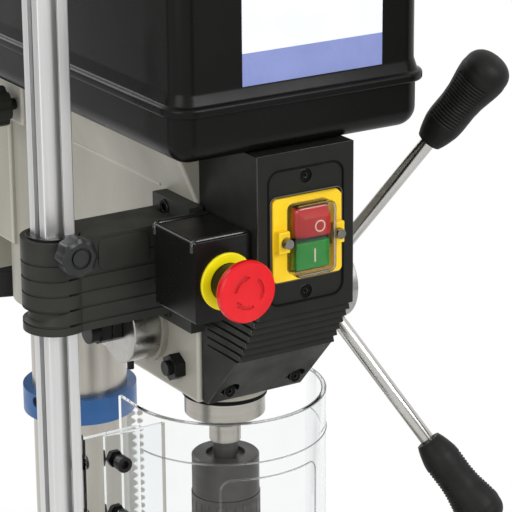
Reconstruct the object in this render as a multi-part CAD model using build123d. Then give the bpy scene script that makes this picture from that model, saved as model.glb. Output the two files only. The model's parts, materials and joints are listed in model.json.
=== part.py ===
from build123d import *
import math
import os

os.makedirs("parts", exist_ok=True)

# Bench drill. X is the operator's right, Y runs back, Z is up.
# The origin is the centre of the bench bolt pattern, on the underside of the base.

# Driving sizes of the whole machine
column_r = 35.0
throat = 208.5
column_y = 142.0
spindle_y = column_y - throat
chuck_top_z = 640.0
head_bottom_z = 693.0
head_top_z = 876.0

# Clearances and shared small sizes
run_fit = 0.05
slide_fit = 0.2
air = 0.3
overrun = 4.0
soft_edge = 1.0
bite = 1.0

# Base casting
base_half_w = 131.0
base_half_l = 215.0
base_h = 42.0
base_wall = 12.0
base_corner_r = 28.0
pad_h = 4.0
pad_half_w = 88.0
pad_front_y = -200.0
pad_back_y = 40.0
pad_corner_r = 10.0
bench_x = 108.0
bench_y = 190.0
bench_hole_r = 6.5
bench_boss_r = 17.0
base_slot_x = 48.0
base_slot_w = 14.0
base_slot_l = 160.0
seat_margin = 2.0
base_top = base_h + pad_h

# Column, its foot flange and bolts
flange_rim = 33.0
flange_r = column_r + flange_rim
flange_t = 14.0
foot_boss_wall = 9.0
foot_boss_r = column_r + foot_boss_wall
foot_boss_h = 56.0
foot_bolt_in = 12.5
foot_bolt_circle_r = flange_r - foot_bolt_in
foot_bolt_r = 5.0
foot_bolt_clear = 0.25
bolt_head_af = 17.0
bolt_head_h = 7.0
column_wall = 4.0
column_top_z = 866.0

# Rack and its collar
rack_w = 14.0
rack_root_t = 4.0
rack_tooth_h = 4.0
rack_module = 2.0
collar_wall = 7.0
collar_r = column_r + collar_wall
collar_z = 603.6
collar_h = 19.1
collar_lip = 8.0
collar_screw_angle = -168.0
collar_screw_r = 4.0

# Table, bracket and lift
table_half = 140.0
table_t = 15.0
table_top_z = 350.0
table_corner_r = 16.0
table_rim = 8.0
table_bore_r = 12.5
table_slot_w = 12.0
table_slot_in = 44.0
table_slot_l = 72.0
table_lip_h = 8.0
tilt_z = 290.0
lug_r = 36.0
lug_t = 26.0
lug_face_y = 8.0
tilt_bolt_r = 8.0
tilt_head_af = 24.0
tilt_head_h = 10.0
bracket_wall = 15.0
sleeve_r = column_r + bracket_wall
sleeve_z0 = 240.0
sleeve_clear = 2.0
sleeve_z1 = table_top_z - table_t - table_lip_h - sleeve_clear
arm_half_w = 24.0
arm_z0 = 264.0
arm_z1 = 312.0
ear_reach = 24.0
ear_x = sleeve_r + ear_reach
ear_half_w = 16.0
ear_z0 = 262.0
ear_z1 = 308.0
split_w = 4.0
clamp_x = sleeve_r + ear_reach / 2
clamp_stud_r = 5.0
clamp_lever_l = 78.0
clamp_lever_r = 5.0
clamp_hub_r = 10.0
clamp_hub_l = 18.0

# Lifting gear
gear_root_share = 1.2
pinion_teeth = 12
pinion_z = 285.0
pinion_w = 16.0
mesh_gap = 0.5
wheel_r = 15.0
wheel_w = 12.0
worm_r = 7.0
worm_core_r = 5.0
worm_pitch = 5.0
gear_shaft_r = 6.0
worm_shaft_r = 6.0
gear_case_reach = 53.0
gear_case_x = column_r + gear_case_reach
gear_case_front = 18.0
gear_case_back = 34.0
gear_case_y0 = column_y - gear_case_front
gear_case_y1 = column_y + gear_case_back
gear_case_z0 = 258.0
gear_case_z1 = 328.0
case_clear = 1.0
crank_l = 66.0
crank_t = 9.0
crank_hub_r = 12.0
crank_end_r = 9.6
crank_half_w = 8.4
crank_clear = 12.0
crank_x = gear_case_x + crank_clear
crank_pin_r = 4.0
crank_grip_r = 11.0
crank_grip_l = 62.0

# Head casting
head_half_w = 38.0
panel_half_w = 35.5
head_front = 30.5
head_front_y = spindle_y - head_front
flare_z = 830.0
head_top_half_w = 57.0
bar_side = 3.5
rear_reach = 49.0
boss_wall = 11.5
boss_r = column_r + boss_wall
head_screw_zs = (head_bottom_z + boss_r / 2, head_bottom_z + boss_r)
nose_z = 684.0
nose_step_z = 687.3
rear_half_w = boss_r + bar_side
rear_y = column_y + rear_reach
rear_z = 738.0
bar_lug_side = 12.0
bar_lug_y0 = column_y - boss_r + soft_edge / 2
bar_lug_x = rear_half_w + bar_lug_side
bar_lug_z0 = 838.0
bar_lug_z1 = 867.0
core_half_w = 27.0
core_front = 58.5
core_back = 60.0
core_y0 = spindle_y + core_front
core_y1 = column_y - core_back
core_top_z = 850.0

# Quill, spindle and feed
quill_r = 27.0
nose_wall = 10.0
nose_r = quill_r + nose_wall
nose_band_r = quill_r + 1.4
nose_lip_r = nose_band_r + 1.0
quill_z0 = 670.5
quill_z1 = 826.0
quill_bore_r = 15.0
quill_wall = 6.0
bearing_r = quill_r - quill_wall
bearing_h = 15.0
spindle_r = 12.5
spindle_collar_r = bearing_r - soft_edge
spindle_collar_z0 = 667.0
spindle_neck_z = 662.0
spindle_nose_r = 10.6
spindle_nose_z = 650.0
spline_r = 8.5
spline_top_z = 940.0
taper_r0 = 8.6
taper_r1 = 7.0
taper_l = 62.0
quill_module = 1.5
feed_teeth = 14
feed_pitch_r = quill_module * feed_teeth / 2
rack_depth = 2.4
quill_pitch_r = quill_r - rack_depth
feed_mesh_gap = 0.02
feed_y = spindle_y + quill_pitch_r + feed_pitch_r + feed_mesh_gap
feed_z = 731.3
quill_rack_w = 15.0
quill_rack_z0 = 712.0
feed_shaft_r = 8.0

# Drill chuck
chuck_r = 22.8
chuck_body_h = 27.0
chuck_recess_r = 13.3
chuck_recess_h = 3.0
chuck_core_r = 19.6
chuck_nose_z = 562.0
chuck_nose_r = 12.0
jaw_r = 4.0
jaw_tip_r = 5.0
jaw_tip_z = 556.0
jaw_angle = 13.0
jaw_l = 34.0
jaw_travel = 9.0
chuck_socket_r = 7.8
chuck_socket_l = 26.0
chuck_flute_count = 24

# Feed hub, arms and grips
hub_x0 = 76.0
hub_x1 = 114.0
hub_r = 26.0
hub_arm_x = 92.0
arm_cone = 23.8
arm_phase = 61.0
arm_r = 5.0
arm_l0 = 13.0
arm_l1 = 150.0
grip_l0 = 136.0
grip_l1 = 211.0
grip_end_r = 17.3
grip_belly_r = 13.4
grip_waist_r = 13.2
grip_neck_r = 8.6
grip_bore_r = arm_r + run_fit
grip_dome_share = 0.2
depth_ring_r = 29.0
depth_ring_x0 = 54.0
depth_ring_x1 = 72.0
depth_boss_r = 24.0
depth_boss_x = 53.0

# Return spring can on the left
can_r = 25.0
can_x0 = 61.5
can_x1 = 42.0
can_ring_r = 27.5
can_wall = 2.0
spring_coil_r0 = 11.0
spring_coil_r1 = 21.5
spring_strip = 0.6
spring_turns = 6
spring_w = 13.0
feed_end_x = -84.0
can_nut_af = 17.0
can_nut_t = 7.0
can_pin_r = 2.4
can_pin_l = 7.0

# Quill stop stud
stop_stud_in = 6.5
stop_stud_y = spindle_y - stop_stud_in
stop_stud_z = 712.0
stop_stud_r = 5.0
stop_nut_af = 16.0
stop_nut_t = 8.0
stop_stud_out = 11.5

# Belt cover: tray and lid
cover_half_w = 89.0
cover_reach = 98.5
cover_front_y = spindle_y - cover_reach
cover_back = 232.0
cover_back_y = column_y + cover_back
cover_wall = 3.0
cover_corner_r = 14.0
cover_bottom_r = 13.0
lip_out = 4.5
lip_z0 = 906.6
lip_z1 = 915.0
lid_top_z = 990.0
lid_top_r = 12.0
lid_draft_in = 1.0
hinge_r = 2.5
hinge_knuckle_r = 4.6
hinge_l = 40.0
hinge_leaf_l = 8.0
hinge_ys = (-30.0, 230.0)
latch_y = 250.0
latch_r = 9.0
latch_out = 12.0
latch_drop = 5.4
latch_z = lip_z0 - latch_drop

# Label plate on the lid
label_x0 = -43.7
label_x1 = 57.4
label_z0 = 920.3
label_z1 = 975.8
label_t = 0.6

# Pulleys and belts
pulley_z0 = 886.0
step_h = 15.0
groove_depth = 7.0
groove_w = 10.0
spindle_steps = (60.0, 51.0, 42.0, 33.0)
idler_steps = (34.0, 43.0, 52.0, 61.0)
motor_steps = (57.0, 48.0, 39.0, 30.0)
belt_w = 9.0
belt_t = 6.0
idler_front = 42.0
idler_y = column_y - idler_front
idler_offset = 18.0
idler_pivot_y = idler_y - idler_offset
idler_arm_t = 4.0
idler_pin_r = 8.0
idler_arm_half_w = 12.0
insert_r = 14.0
insert_z0 = 848.0
pulley_bearing_in = 3.0
pulley_bearing_r = quill_r - pulley_bearing_in
pulley_bearing_h = 12.0
motor_gap = 84.0
motor_y = rear_y + motor_gap
low_belt_step = 1
high_belt_step = 3

# Motor, its plate and slide bars
motor_r = 60.0
motor_z0 = 690.0
motor_z1 = 838.0
motor_fin_r = 64.0
motor_fin_count = 28
motor_fin_w = 2.0
fan_cover_z0 = 668.0
fan_cover_wall = 1.5
rotor_r = 32.0
rotor_z0 = 720.0
rotor_z1 = 806.0
motor_shaft_r = 9.5
shaft_clear = 1.0
motor_bore_r = 33.0
fan_r = 50.0
fan_hub_r = 16.0
fan_z0 = 672.0
fan_z1 = 684.0
fan_blades = 8
fan_blade_t = 2.0
vent_ring_step = 12.8
vent_counts = (6, 12, 18)
plate_t = 8.0
plate_gap = 10.0
plate_half_w = 60.0
plate_z0 = 700.0
bar_x = rear_half_w
bar_z = 852.0
bar_r = 8.0
bar_inset = 4.0
bar_y0 = bar_lug_y0 + bar_inset
motor_travel = 8.0
box_x0 = 58.0
box_x1 = 84.0
box_half_l = 34.0
box_z0 = 730.0
box_z1 = 800.0
gland_r = 9.0
gland_cap_r = 7.2
gland_l = 16.0
gland_bore_r = 4.0
tension_pin_in = 15.0
tension_pin_l = 12.0
tension_pin_y = rear_y - tension_pin_in
tension_pin_z = 790.0
tension_lever_l = 72.0
tension_hub_r = 12.8
tension_ball_r = 7.0

# Knobs with lobes
lock_knob_in = 7.0
lock_knob_y = bar_y0 + lock_knob_in
lock_knob_r = 14.0
lock_knob_t = 17.0
lock_stud_r = 4.0
knob_lobes = 7
knob_scallop_share = 0.24

# Front panel
panel_reach = 100.0
panel_front_y = spindle_y - panel_reach
panel_wall = 3.0
rib_top_z = 774.0
rib_count = 7
rib_run = 24.5
rib_drop = 39.0
rib_groove = 1.2
panel_low_reach = 38.0
panel_low_y = spindle_y - panel_low_reach
panel_low_z = 694.5
low_screw_x = 25.0
low_screw_share = 0.25
screw_r = 2.5
screw_head_r = 4.2
screw_head_h = 3.0
low_recess_r = 6.8
small_screw_r = 1.9
small_screw_hole_r = 2.0
small_screw_head_r = 3.15
switch_plate_half_w = 27.5
switch_plate_z0 = 777.5
switch_plate_z1 = 864.5
switch_plate_r = 8.0
switch_plate_in = 2.0
plate_screw_z0 = 783.5
plate_screw_z1 = 858.5

# No-volt switch
switch_z = 820.3
frame_half_w = 25.2
frame_half_h = 26.8
frame_t = 2.5
frame_corner_r = 3.0
window_half_w = 13.0
window_half_h = 20.5
cover_box_half_w = 15.6
cover_box_half_h = 23.3
cover_box_out = 10.5
cover_box_wall = 1.2
lug_half_h = 7.0
lug_out = 5.0
lug_w = 8.4
lug_screw_in = 3.5
button_half_w = 12.0
button_gap = 2.0
button_out = 7.0
stop_extra = 0.8
stop_chamfer_h = 3.0
stop_flat_share = 0.55
switch_body_depth = 38.0
button_press = 2.5
button_stem_half = 4.0

# Emergency stop
estop_x0 = -76.0
estop_step = 6.5
estop_front_y = panel_front_y + estop_step
estop_depth = 49.0
estop_back_y = estop_front_y + estop_depth
estop_z0 = 773.5
estop_z1 = 826.5
estop_wall = 2.5
estop_corner_r = 2.0
estop_x = -54.0
estop_z = 798.4
estop_ring_r = 18.4
estop_ring_t = 2.0
estop_neck_r = 12.0
estop_head_r = 19.7
estop_head_t = 11.0
estop_reach = 27.0
estop_stem_r = 5.0
estop_press = 5.0
estop_block_half = 12.0

# Guard bracket, profile and shield
guard_x = -131.0
guard_in = 13.5
guard_y = spindle_y - guard_in
socket_r = 20.5
socket_z0 = 760.0
socket_z1 = 820.5
bush_r = 17.0
bush_lip_z = 1.5
profile_half = 10.5
profile_z0 = 556.0
profile_z1 = 976.0
profile_slot_w = 6.2
profile_slot_depth = 5.5
profile_core_r = 2.5
guard_arm_half = 18.0
arm_front_y = guard_y - guard_arm_half
arm_back_y = guard_y + guard_arm_half
arm_groove = 0.8
arm_groove_w = 1.6
arm_groove_count = 5
foot_t = 10.0
foot_x = -head_half_w - foot_t
foot_front = 26.0
foot_back = 20.5
foot_y0 = guard_y - foot_front
foot_y1 = guard_y + foot_back
foot_z0 = 746.0
foot_z1 = 829.6
foot_screw_in = 5.0
foot_screw_y = guard_y + foot_screw_in
foot_screw_low = 7.3
foot_screw_high = 7.0
foot_screw_zs = (foot_z0 + foot_screw_low, foot_z1 - foot_screw_high)
guard_knob_z = 815.0
guard_knob_r = 12.8
guard_knob_t = 15.0
guard_stud_r = 3.0
shield_r = 67.6
shield_t = 3.0
shield_z0 = 572.0
shield_z1 = 687.0
shield_leg = 24.5
shield_leg_y = spindle_y + shield_leg
shield_flange_x = -106.0
plate_clear_t = 4.0
plate_clear_z0 = 606.0
plate_clear_z1 = 684.0
guard_screw_r = 3.0
guard_screw_head_r = 5.2
guard_screw_zs = (664.0, 626.0)
guard_screw_x = -95.0


def box(x0, x1, y0, y1, z0, z1):
    """Block between two corners."""
    return Pos((x0 + x1) / 2, (y0 + y1) / 2, (z0 + z1) / 2) * Box(x1 - x0, y1 - y0, z1 - z0)


def rod_z(x, y, r, z0, z1):
    """Upright round bar."""
    return Pos(x, y, (z0 + z1) / 2) * Cylinder(r, z1 - z0)


def rod_x(y, z, r, x0, x1):
    """Round bar along X."""
    return Pos((x0 + x1) / 2, y, z) * Rot(0, 90, 0) * Cylinder(r, x1 - x0)


def rod_y(x, z, r, y0, y1):
    """Round bar along Y."""
    return Pos(x, (y0 + y1) / 2, z) * Rot(90, 0, 0) * Cylinder(r, y1 - y0)


def hex_along(axis, a, b, across, c0, c1):
    """Hexagonal bar along an axis, centred on the two other coordinates."""
    bar = extrude(RegularPolygon(across / 2, 6, major_radius=False), c1 - c0)
    if axis == "z":
        return Pos(a, b, c0) * bar
    if axis == "x":
        return Pos(c0, a, b) * Rot(0, 90, 0) * bar
    return Pos(a, c1, b) * Rot(90, 0, 0) * bar


def prism_x(points, x0, x1):
    """Outline of (y, z) points carried along X."""
    wire = Wire.make_polygon([(x0, y, z) for y, z in points])
    return Solid.extrude(Face(wire), Vector(x1 - x0, 0, 0))


def prism_y(points, y0, y1):
    """Outline of (x, z) points carried along Y."""
    wire = Wire.make_polygon([(x, y0, z) for x, z in points])
    return Solid.extrude(Face(wire), Vector(0, y1 - y0, 0))


def prism_z(points, z0, z1):
    """Outline of (x, y) points carried along Z."""
    wire = Wire.make_polygon([(x, y, z0) for x, y in points])
    return Solid.extrude(Face(wire), Vector(0, 0, z1 - z0))


def turned(points, x=0, y=0):
    """Outline of (radius, z) points turned about an upright line."""
    wire = Wire.make_polygon([(x + r, y, z) for r, z in points])
    return Solid.revolve(Face(wire), 360, Axis((x, y, 0), (0, 0, 1)))


def slab(x0, x1, y0, y1, z0, z1, r):
    """Block with round upright corners."""
    face = RectangleRounded(x1 - x0, y1 - y0, r)
    return Pos((x0 + x1) / 2, (y0 + y1) / 2, z0) * extrude(face, z1 - z0)


def slab_y(x0, x1, z0, z1, y0, y1, r):
    """Plate that faces Y, with round corners."""
    face = RectangleRounded(x1 - x0, z1 - z0, r)
    return Pos((x0 + x1) / 2, y1, (z0 + z1) / 2) * Rot(90, 0, 0) * extrude(face, y1 - y0)


def gear_outline(module, teeth, phase=0.0):
    """Points of a straight-sided gear round the origin."""
    root = module * (teeth / 2 - gear_root_share)
    tip = module * teeth / 2 + module
    pitch = 2 * math.pi / teeth
    flank_shares = ((-0.31, root), (-0.1, tip), (0.1, tip), (0.31, root))
    points = []
    for tooth in range(teeth):
        for share, radius in flank_shares:
            angle = phase + pitch * (tooth + share)
            points.append((radius * math.cos(angle), radius * math.sin(angle)))
    return points


def lobed_knob(radius, thickness, lobes):
    """Knob with round lobes, its axis along Z and its back at zero."""
    body = Cylinder(radius, thickness)
    scallop = radius * knob_scallop_share
    for n in range(lobes):
        angle = 360 * (n + 0.5) / lobes
        cutter = Cylinder(scallop, thickness + overrun)
        body -= Rot(0, 0, angle) * Pos(radius + scallop / 2, 0, 0) * cutter
    body = Pos(0, 0, thickness / 2) * body
    rim = body.edges().filter_by(lambda e: abs(e.center().Z - thickness) < soft_edge / 10)
    return fillet(rim, soft_edge)


parts = {}


def put(node, *shapes):
    """Add the solids of these shapes to the sub-part of this name."""
    solids = parts.setdefault(node, [])
    for shape in shapes:
        solids.extend(shape.solids())


def make_base():
    """Hollow casting with a raised working pad, a column seat and four bench bolt holes."""
    body = slab(-base_half_w, base_half_w, -base_half_l, base_half_l, 0, base_h, base_corner_r)
    body = fillet(body.faces().sort_by(Axis.Z)[-1].edges(), base_wall / 2)
    pocket = slab(base_wall - base_half_w, base_half_w - base_wall, base_wall - base_half_l,
                  base_half_l - base_wall, -overrun, base_h - base_wall, base_corner_r - base_wall)
    body -= pocket
    body += slab(-pad_half_w, pad_half_w, pad_front_y, pad_back_y, base_h, base_top, pad_corner_r)
    body += rod_z(0, column_y, flange_r + seat_margin, base_h, base_top)
    for x in (-bench_x, bench_x):
        for y in (-bench_y, bench_y):
            body += rod_z(x, y, bench_boss_r, 0, base_h)
            body -= rod_z(x, y, bench_hole_r, -overrun, base_h + overrun)
    for x in (-base_slot_x, base_slot_x):
        mid = (pad_front_y + pad_back_y) / 2
        slot = Pos(x, mid, 0) * extrude(SlotOverall(base_slot_l, base_slot_w, 90), base_top + overrun)
        body -= slot
    for n in range(4):
        angle = math.radians(45 + 90 * n)
        x = foot_bolt_circle_r * math.cos(angle)
        y = column_y + foot_bolt_circle_r * math.sin(angle)
        body -= rod_z(x, y, foot_bolt_r + foot_bolt_clear, base_h - base_wall - overrun, base_top + overrun)
    put("base", body)


def make_column():
    """Ground tube, its foot flange, bolts, rack, top collar and set screw."""
    foot_top = base_top + foot_boss_h
    tube = rod_z(0, column_y, column_r, base_top, column_top_z)
    tube -= rod_z(0, column_y, column_r - column_wall, base_top - overrun, column_top_z + overrun)
    put("column", tube)
    foot = rod_z(0, column_y, flange_r, base_top, base_top + flange_t)
    foot += rod_z(0, column_y, foot_boss_r, base_top + flange_t, foot_top)
    foot -= rod_z(0, column_y, column_r + run_fit, base_top - overrun, foot_top + overrun)
    foot -= rod_z(0, column_y, column_r + rack_root_t + 4 * air, foot_top - collar_lip, foot_top + overrun)
    bolts = []
    for n in range(4):
        angle = math.radians(45 + 90 * n)
        x = foot_bolt_circle_r * math.cos(angle)
        y = column_y + foot_bolt_circle_r * math.sin(angle)
        foot -= rod_z(x, y, foot_bolt_r + foot_bolt_clear, base_top - overrun, base_top + flange_t + overrun)
        head_z = base_top + flange_t
        bolt = hex_along("z", x, y, bolt_head_af, head_z, head_z + bolt_head_h)
        bolts.append(bolt + rod_z(x, y, foot_bolt_r, base_h - base_wall, head_z))
    put("column_flange", foot)
    put("flange_bolts", *bolts)

    z0 = foot_top + air
    z1 = collar_z - air
    root_x = column_r + air + rack_root_t
    pitch = math.pi * rack_module
    tooth_count = int((z1 - z0 - pitch) / pitch)
    first = pinion_z - pitch * round((pinion_z - z0 - pitch) / pitch) + pitch / 2
    points = [(column_r + air, z0), (root_x, z0)]
    tooth_shares = ((-0.34, 0), (-0.13, 1), (0.13, 1), (0.34, 0))
    for n in range(tooth_count):
        for share, height in tooth_shares:
            z = first + pitch * (n + share)
            if z < z1:
                points.append((root_x + rack_tooth_h * height, z))
    points += [(root_x, z1), (column_r + air, z1)]
    rack = prism_y(points, column_y - rack_w / 2, column_y + rack_w / 2)
    thin_z0 = foot_top - collar_lip + air
    thin_z1 = collar_z + collar_lip - air
    rack += box(column_r + air, root_x, column_y - rack_w / 2, column_y + rack_w / 2, thin_z0, thin_z1)
    put("rack", rack)

    top = collar_z + collar_h
    collar = rod_z(0, column_y, collar_r, collar_z, top)
    collar -= rod_z(0, column_y, column_r + run_fit, collar_z - overrun, top + overrun)
    collar -= rod_z(0, column_y, column_r + rack_root_t + 4 * air, collar_z - overrun, collar_z + collar_lip)
    hole_z = top - (collar_h - collar_lip) / 2
    turn = Pos(0, column_y, hole_z) * Rot(0, 0, collar_screw_angle)
    collar -= turn * rod_x(0, 0, collar_screw_r, column_r - overrun, collar_r + overrun)
    screw = turn * rod_x(0, 0, collar_screw_r - run_fit, column_r + run_fit, collar_r - soft_edge)
    screw -= turn * hex_along("x", 0, 0, collar_screw_r, collar_r - 2 * soft_edge - collar_screw_r / 2,
                              collar_r + overrun)
    put("rack_collar", collar)
    put("set_screws", screw)


def make_table():
    """Square table with slots and centre hole, its lug and the tilt bolt."""
    z0 = table_top_z - table_t
    back = spindle_y + table_half
    front = spindle_y - table_half
    table = slab(-table_half, table_half, front, back, z0 - table_lip_h, table_top_z, table_corner_r)
    table -= slab(table_rim - table_half, table_half - table_rim, front + table_rim, back - table_rim,
                  z0 - table_lip_h - overrun, z0, table_corner_r - table_rim)
    table = fillet(table.faces().sort_by(Axis.Z)[-1].outer_wire().edges(), soft_edge)
    table -= rod_z(0, spindle_y, table_bore_r, z0 - overrun, table_top_z + overrun)
    for n in range(4):
        slot = extrude(SlotOverall(table_slot_l, table_slot_w), table_t + 2 * overrun)
        reach = table_slot_in + table_slot_l / 2
        table -= Pos(0, spindle_y, z0 - overrun) * Rot(0, 0, 90 * n) * Pos(reach, 0, 0) * slot
    lug = rod_y(0, tilt_z, lug_r, lug_face_y - lug_t, lug_face_y - air)
    lug += box(-lug_r, lug_r, lug_face_y - lug_t, lug_face_y - air, tilt_z, z0)
    bolt_r = tilt_bolt_r
    lug -= rod_y(0, tilt_z, bolt_r + run_fit, lug_face_y - lug_t - overrun, lug_face_y + overrun)
    put("table", table + lug)

    head_y = lug_face_y - lug_t - air
    bolt = rod_y(0, tilt_z, bolt_r, head_y, lug_face_y + lug_t)
    bolt += hex_along("y", 0, tilt_z, tilt_head_af, head_y - tilt_head_h, head_y)
    put("tilt_bolt", bolt)


def make_bracket():
    """Split sleeve that slides on the column, with arm, gear case and clamp lever."""
    sleeve = rod_z(0, column_y, sleeve_r, sleeve_z0, sleeve_z1)
    sleeve += box(-arm_half_w, arm_half_w, lug_face_y, column_y, arm_z0, arm_z1)
    sleeve += rod_y(0, tilt_z, lug_r, lug_face_y, lug_face_y + lug_t)
    sleeve += box(-ear_x, 0, column_y - ear_half_w, column_y + ear_half_w, ear_z0, ear_z1)
    sleeve += box(0, gear_case_x, gear_case_y0, gear_case_y1, gear_case_z0, gear_case_z1)
    sleeve -= rod_z(0, column_y, column_r + slide_fit, sleeve_z0 - overrun, sleeve_z1 + overrun)
    rack_x = column_r + rack_root_t + rack_tooth_h + 2 * air
    sleeve -= box(0, rack_x, column_y - rack_w / 2 - air, column_y + rack_w / 2 + air,
                  sleeve_z0 - overrun, sleeve_z1 + overrun)
    sleeve -= box(-ear_x - overrun, 0, column_y - split_w / 2, column_y + split_w / 2,
                  sleeve_z0 - overrun, sleeve_z1 + overrun)
    sleeve -= rod_y(0, tilt_z, tilt_bolt_r + run_fit, lug_face_y - overrun, lug_face_y + lug_t + overrun)
    clamp_z = (ear_z0 + ear_z1) / 2
    ear_front = column_y - ear_half_w
    sleeve -= rod_y(-clamp_x, clamp_z, clamp_stud_r + run_fit, ear_front - overrun,
                    column_y + ear_half_w + overrun)

    pinion_x = column_r + air + rack_root_t + rack_tooth_h / 2 + rack_module * pinion_teeth / 2 + mesh_gap
    tip_r = rack_module * (pinion_teeth / 2 + 1)
    wheel_y0 = column_y + pinion_w / 2
    wheel_y1 = wheel_y0 + wheel_w
    case_r = max(tip_r, wheel_r) + case_clear
    sleeve -= rod_y(pinion_x, pinion_z, case_r, column_y - pinion_w / 2 - air, gear_case_y1 + overrun)
    sleeve -= box(rack_x - overrun, pinion_x, column_y - pinion_w / 2 - air, column_y + pinion_w / 2 + air,
                  pinion_z - case_r, pinion_z + case_r)
    sleeve -= rod_y(pinion_x, pinion_z, gear_shaft_r + run_fit, gear_case_y0 - overrun, column_y)
    worm_z = pinion_z + wheel_r + worm_r + air
    worm_y = (wheel_y0 + wheel_y1) / 2
    worm_x0 = pinion_x - wheel_r
    sleeve -= rod_x(worm_y, worm_z, worm_r + air, worm_x0, pinion_x + wheel_r)
    sleeve -= rod_x(worm_y, worm_z, worm_shaft_r + run_fit, worm_x0, gear_case_x + overrun)
    put("table_bracket", sleeve)

    outline = gear_outline(rack_module, pinion_teeth, math.pi)
    moved = [(pinion_x + a, pinion_z + b) for a, b in outline]
    gear = prism_y(moved, column_y - pinion_w / 2, column_y + pinion_w / 2)
    gear += rod_y(pinion_x, pinion_z, wheel_r, wheel_y0, wheel_y1)
    for n in range(2 * pinion_teeth):
        turn = Pos(pinion_x, 0, pinion_z) * Rot(0, 360 * n / (2 * pinion_teeth), 0)
        gear -= turn * rod_y(wheel_r, 0, soft_edge, wheel_y0, wheel_y1 + overrun)
    gear += rod_y(pinion_x, pinion_z, gear_shaft_r, gear_case_y0, column_y)
    put("lift_pinion", gear)

    worm_x1 = pinion_x + wheel_r - air
    worm_start = worm_x0 + air
    worm = rod_x(worm_y, worm_z, worm_core_r, worm_start, worm_x1)
    x = worm_start
    while x + worm_pitch / 2 < worm_x1:
        worm += rod_x(worm_y, worm_z, worm_r - air, x, x + worm_pitch / 2)
        x += worm_pitch
    worm += rod_x(worm_y, worm_z, worm_shaft_r, worm_x1 - run_fit, crank_x + crank_t)
    put("lift_crank", worm)

    arm = rod_x(worm_y, worm_z, crank_hub_r, crank_x, crank_x + crank_t)
    arm += rod_x(worm_y, worm_z - crank_l, crank_end_r, crank_x, crank_x + crank_t)
    arm += box(crank_x, crank_x + crank_t, worm_y - crank_half_w, worm_y + crank_half_w,
               worm_z - crank_l, worm_z)
    arm -= rod_x(worm_y, worm_z, worm_shaft_r, crank_x - overrun, crank_x + crank_t + overrun)
    pin_end = crank_x + crank_t + crank_grip_l
    arm += rod_x(worm_y, worm_z - crank_l, crank_pin_r, crank_x + crank_t, pin_end)
    put("lift_crank", arm)
    grip_x0 = crank_x + crank_t + air
    grip = rod_x(worm_y, worm_z - crank_l, crank_grip_r, grip_x0, pin_end - air)
    grip = fillet(grip.edges().filter_by(GeomType.CIRCLE), crank_grip_r / 3)
    grip -= rod_x(worm_y, worm_z - crank_l, crank_pin_r + run_fit, grip_x0 - overrun, pin_end + overrun)
    put("crank_grip", grip)

    hub_y1 = ear_front - air
    lever = rod_y(-clamp_x, clamp_z, clamp_hub_r, hub_y1 - clamp_hub_l, hub_y1)
    lever += rod_y(-clamp_x, clamp_z, clamp_stud_r, hub_y1, column_y + ear_half_w - air)
    mid_y = hub_y1 - clamp_hub_l / 2
    lever += rod_z(-clamp_x, mid_y, clamp_lever_r, clamp_z - clamp_lever_l, clamp_z)
    lever += Pos(-clamp_x, mid_y, clamp_z - clamp_lever_l) * Sphere(clamp_hub_r)
    put("clamp_lever", lever)


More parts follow.
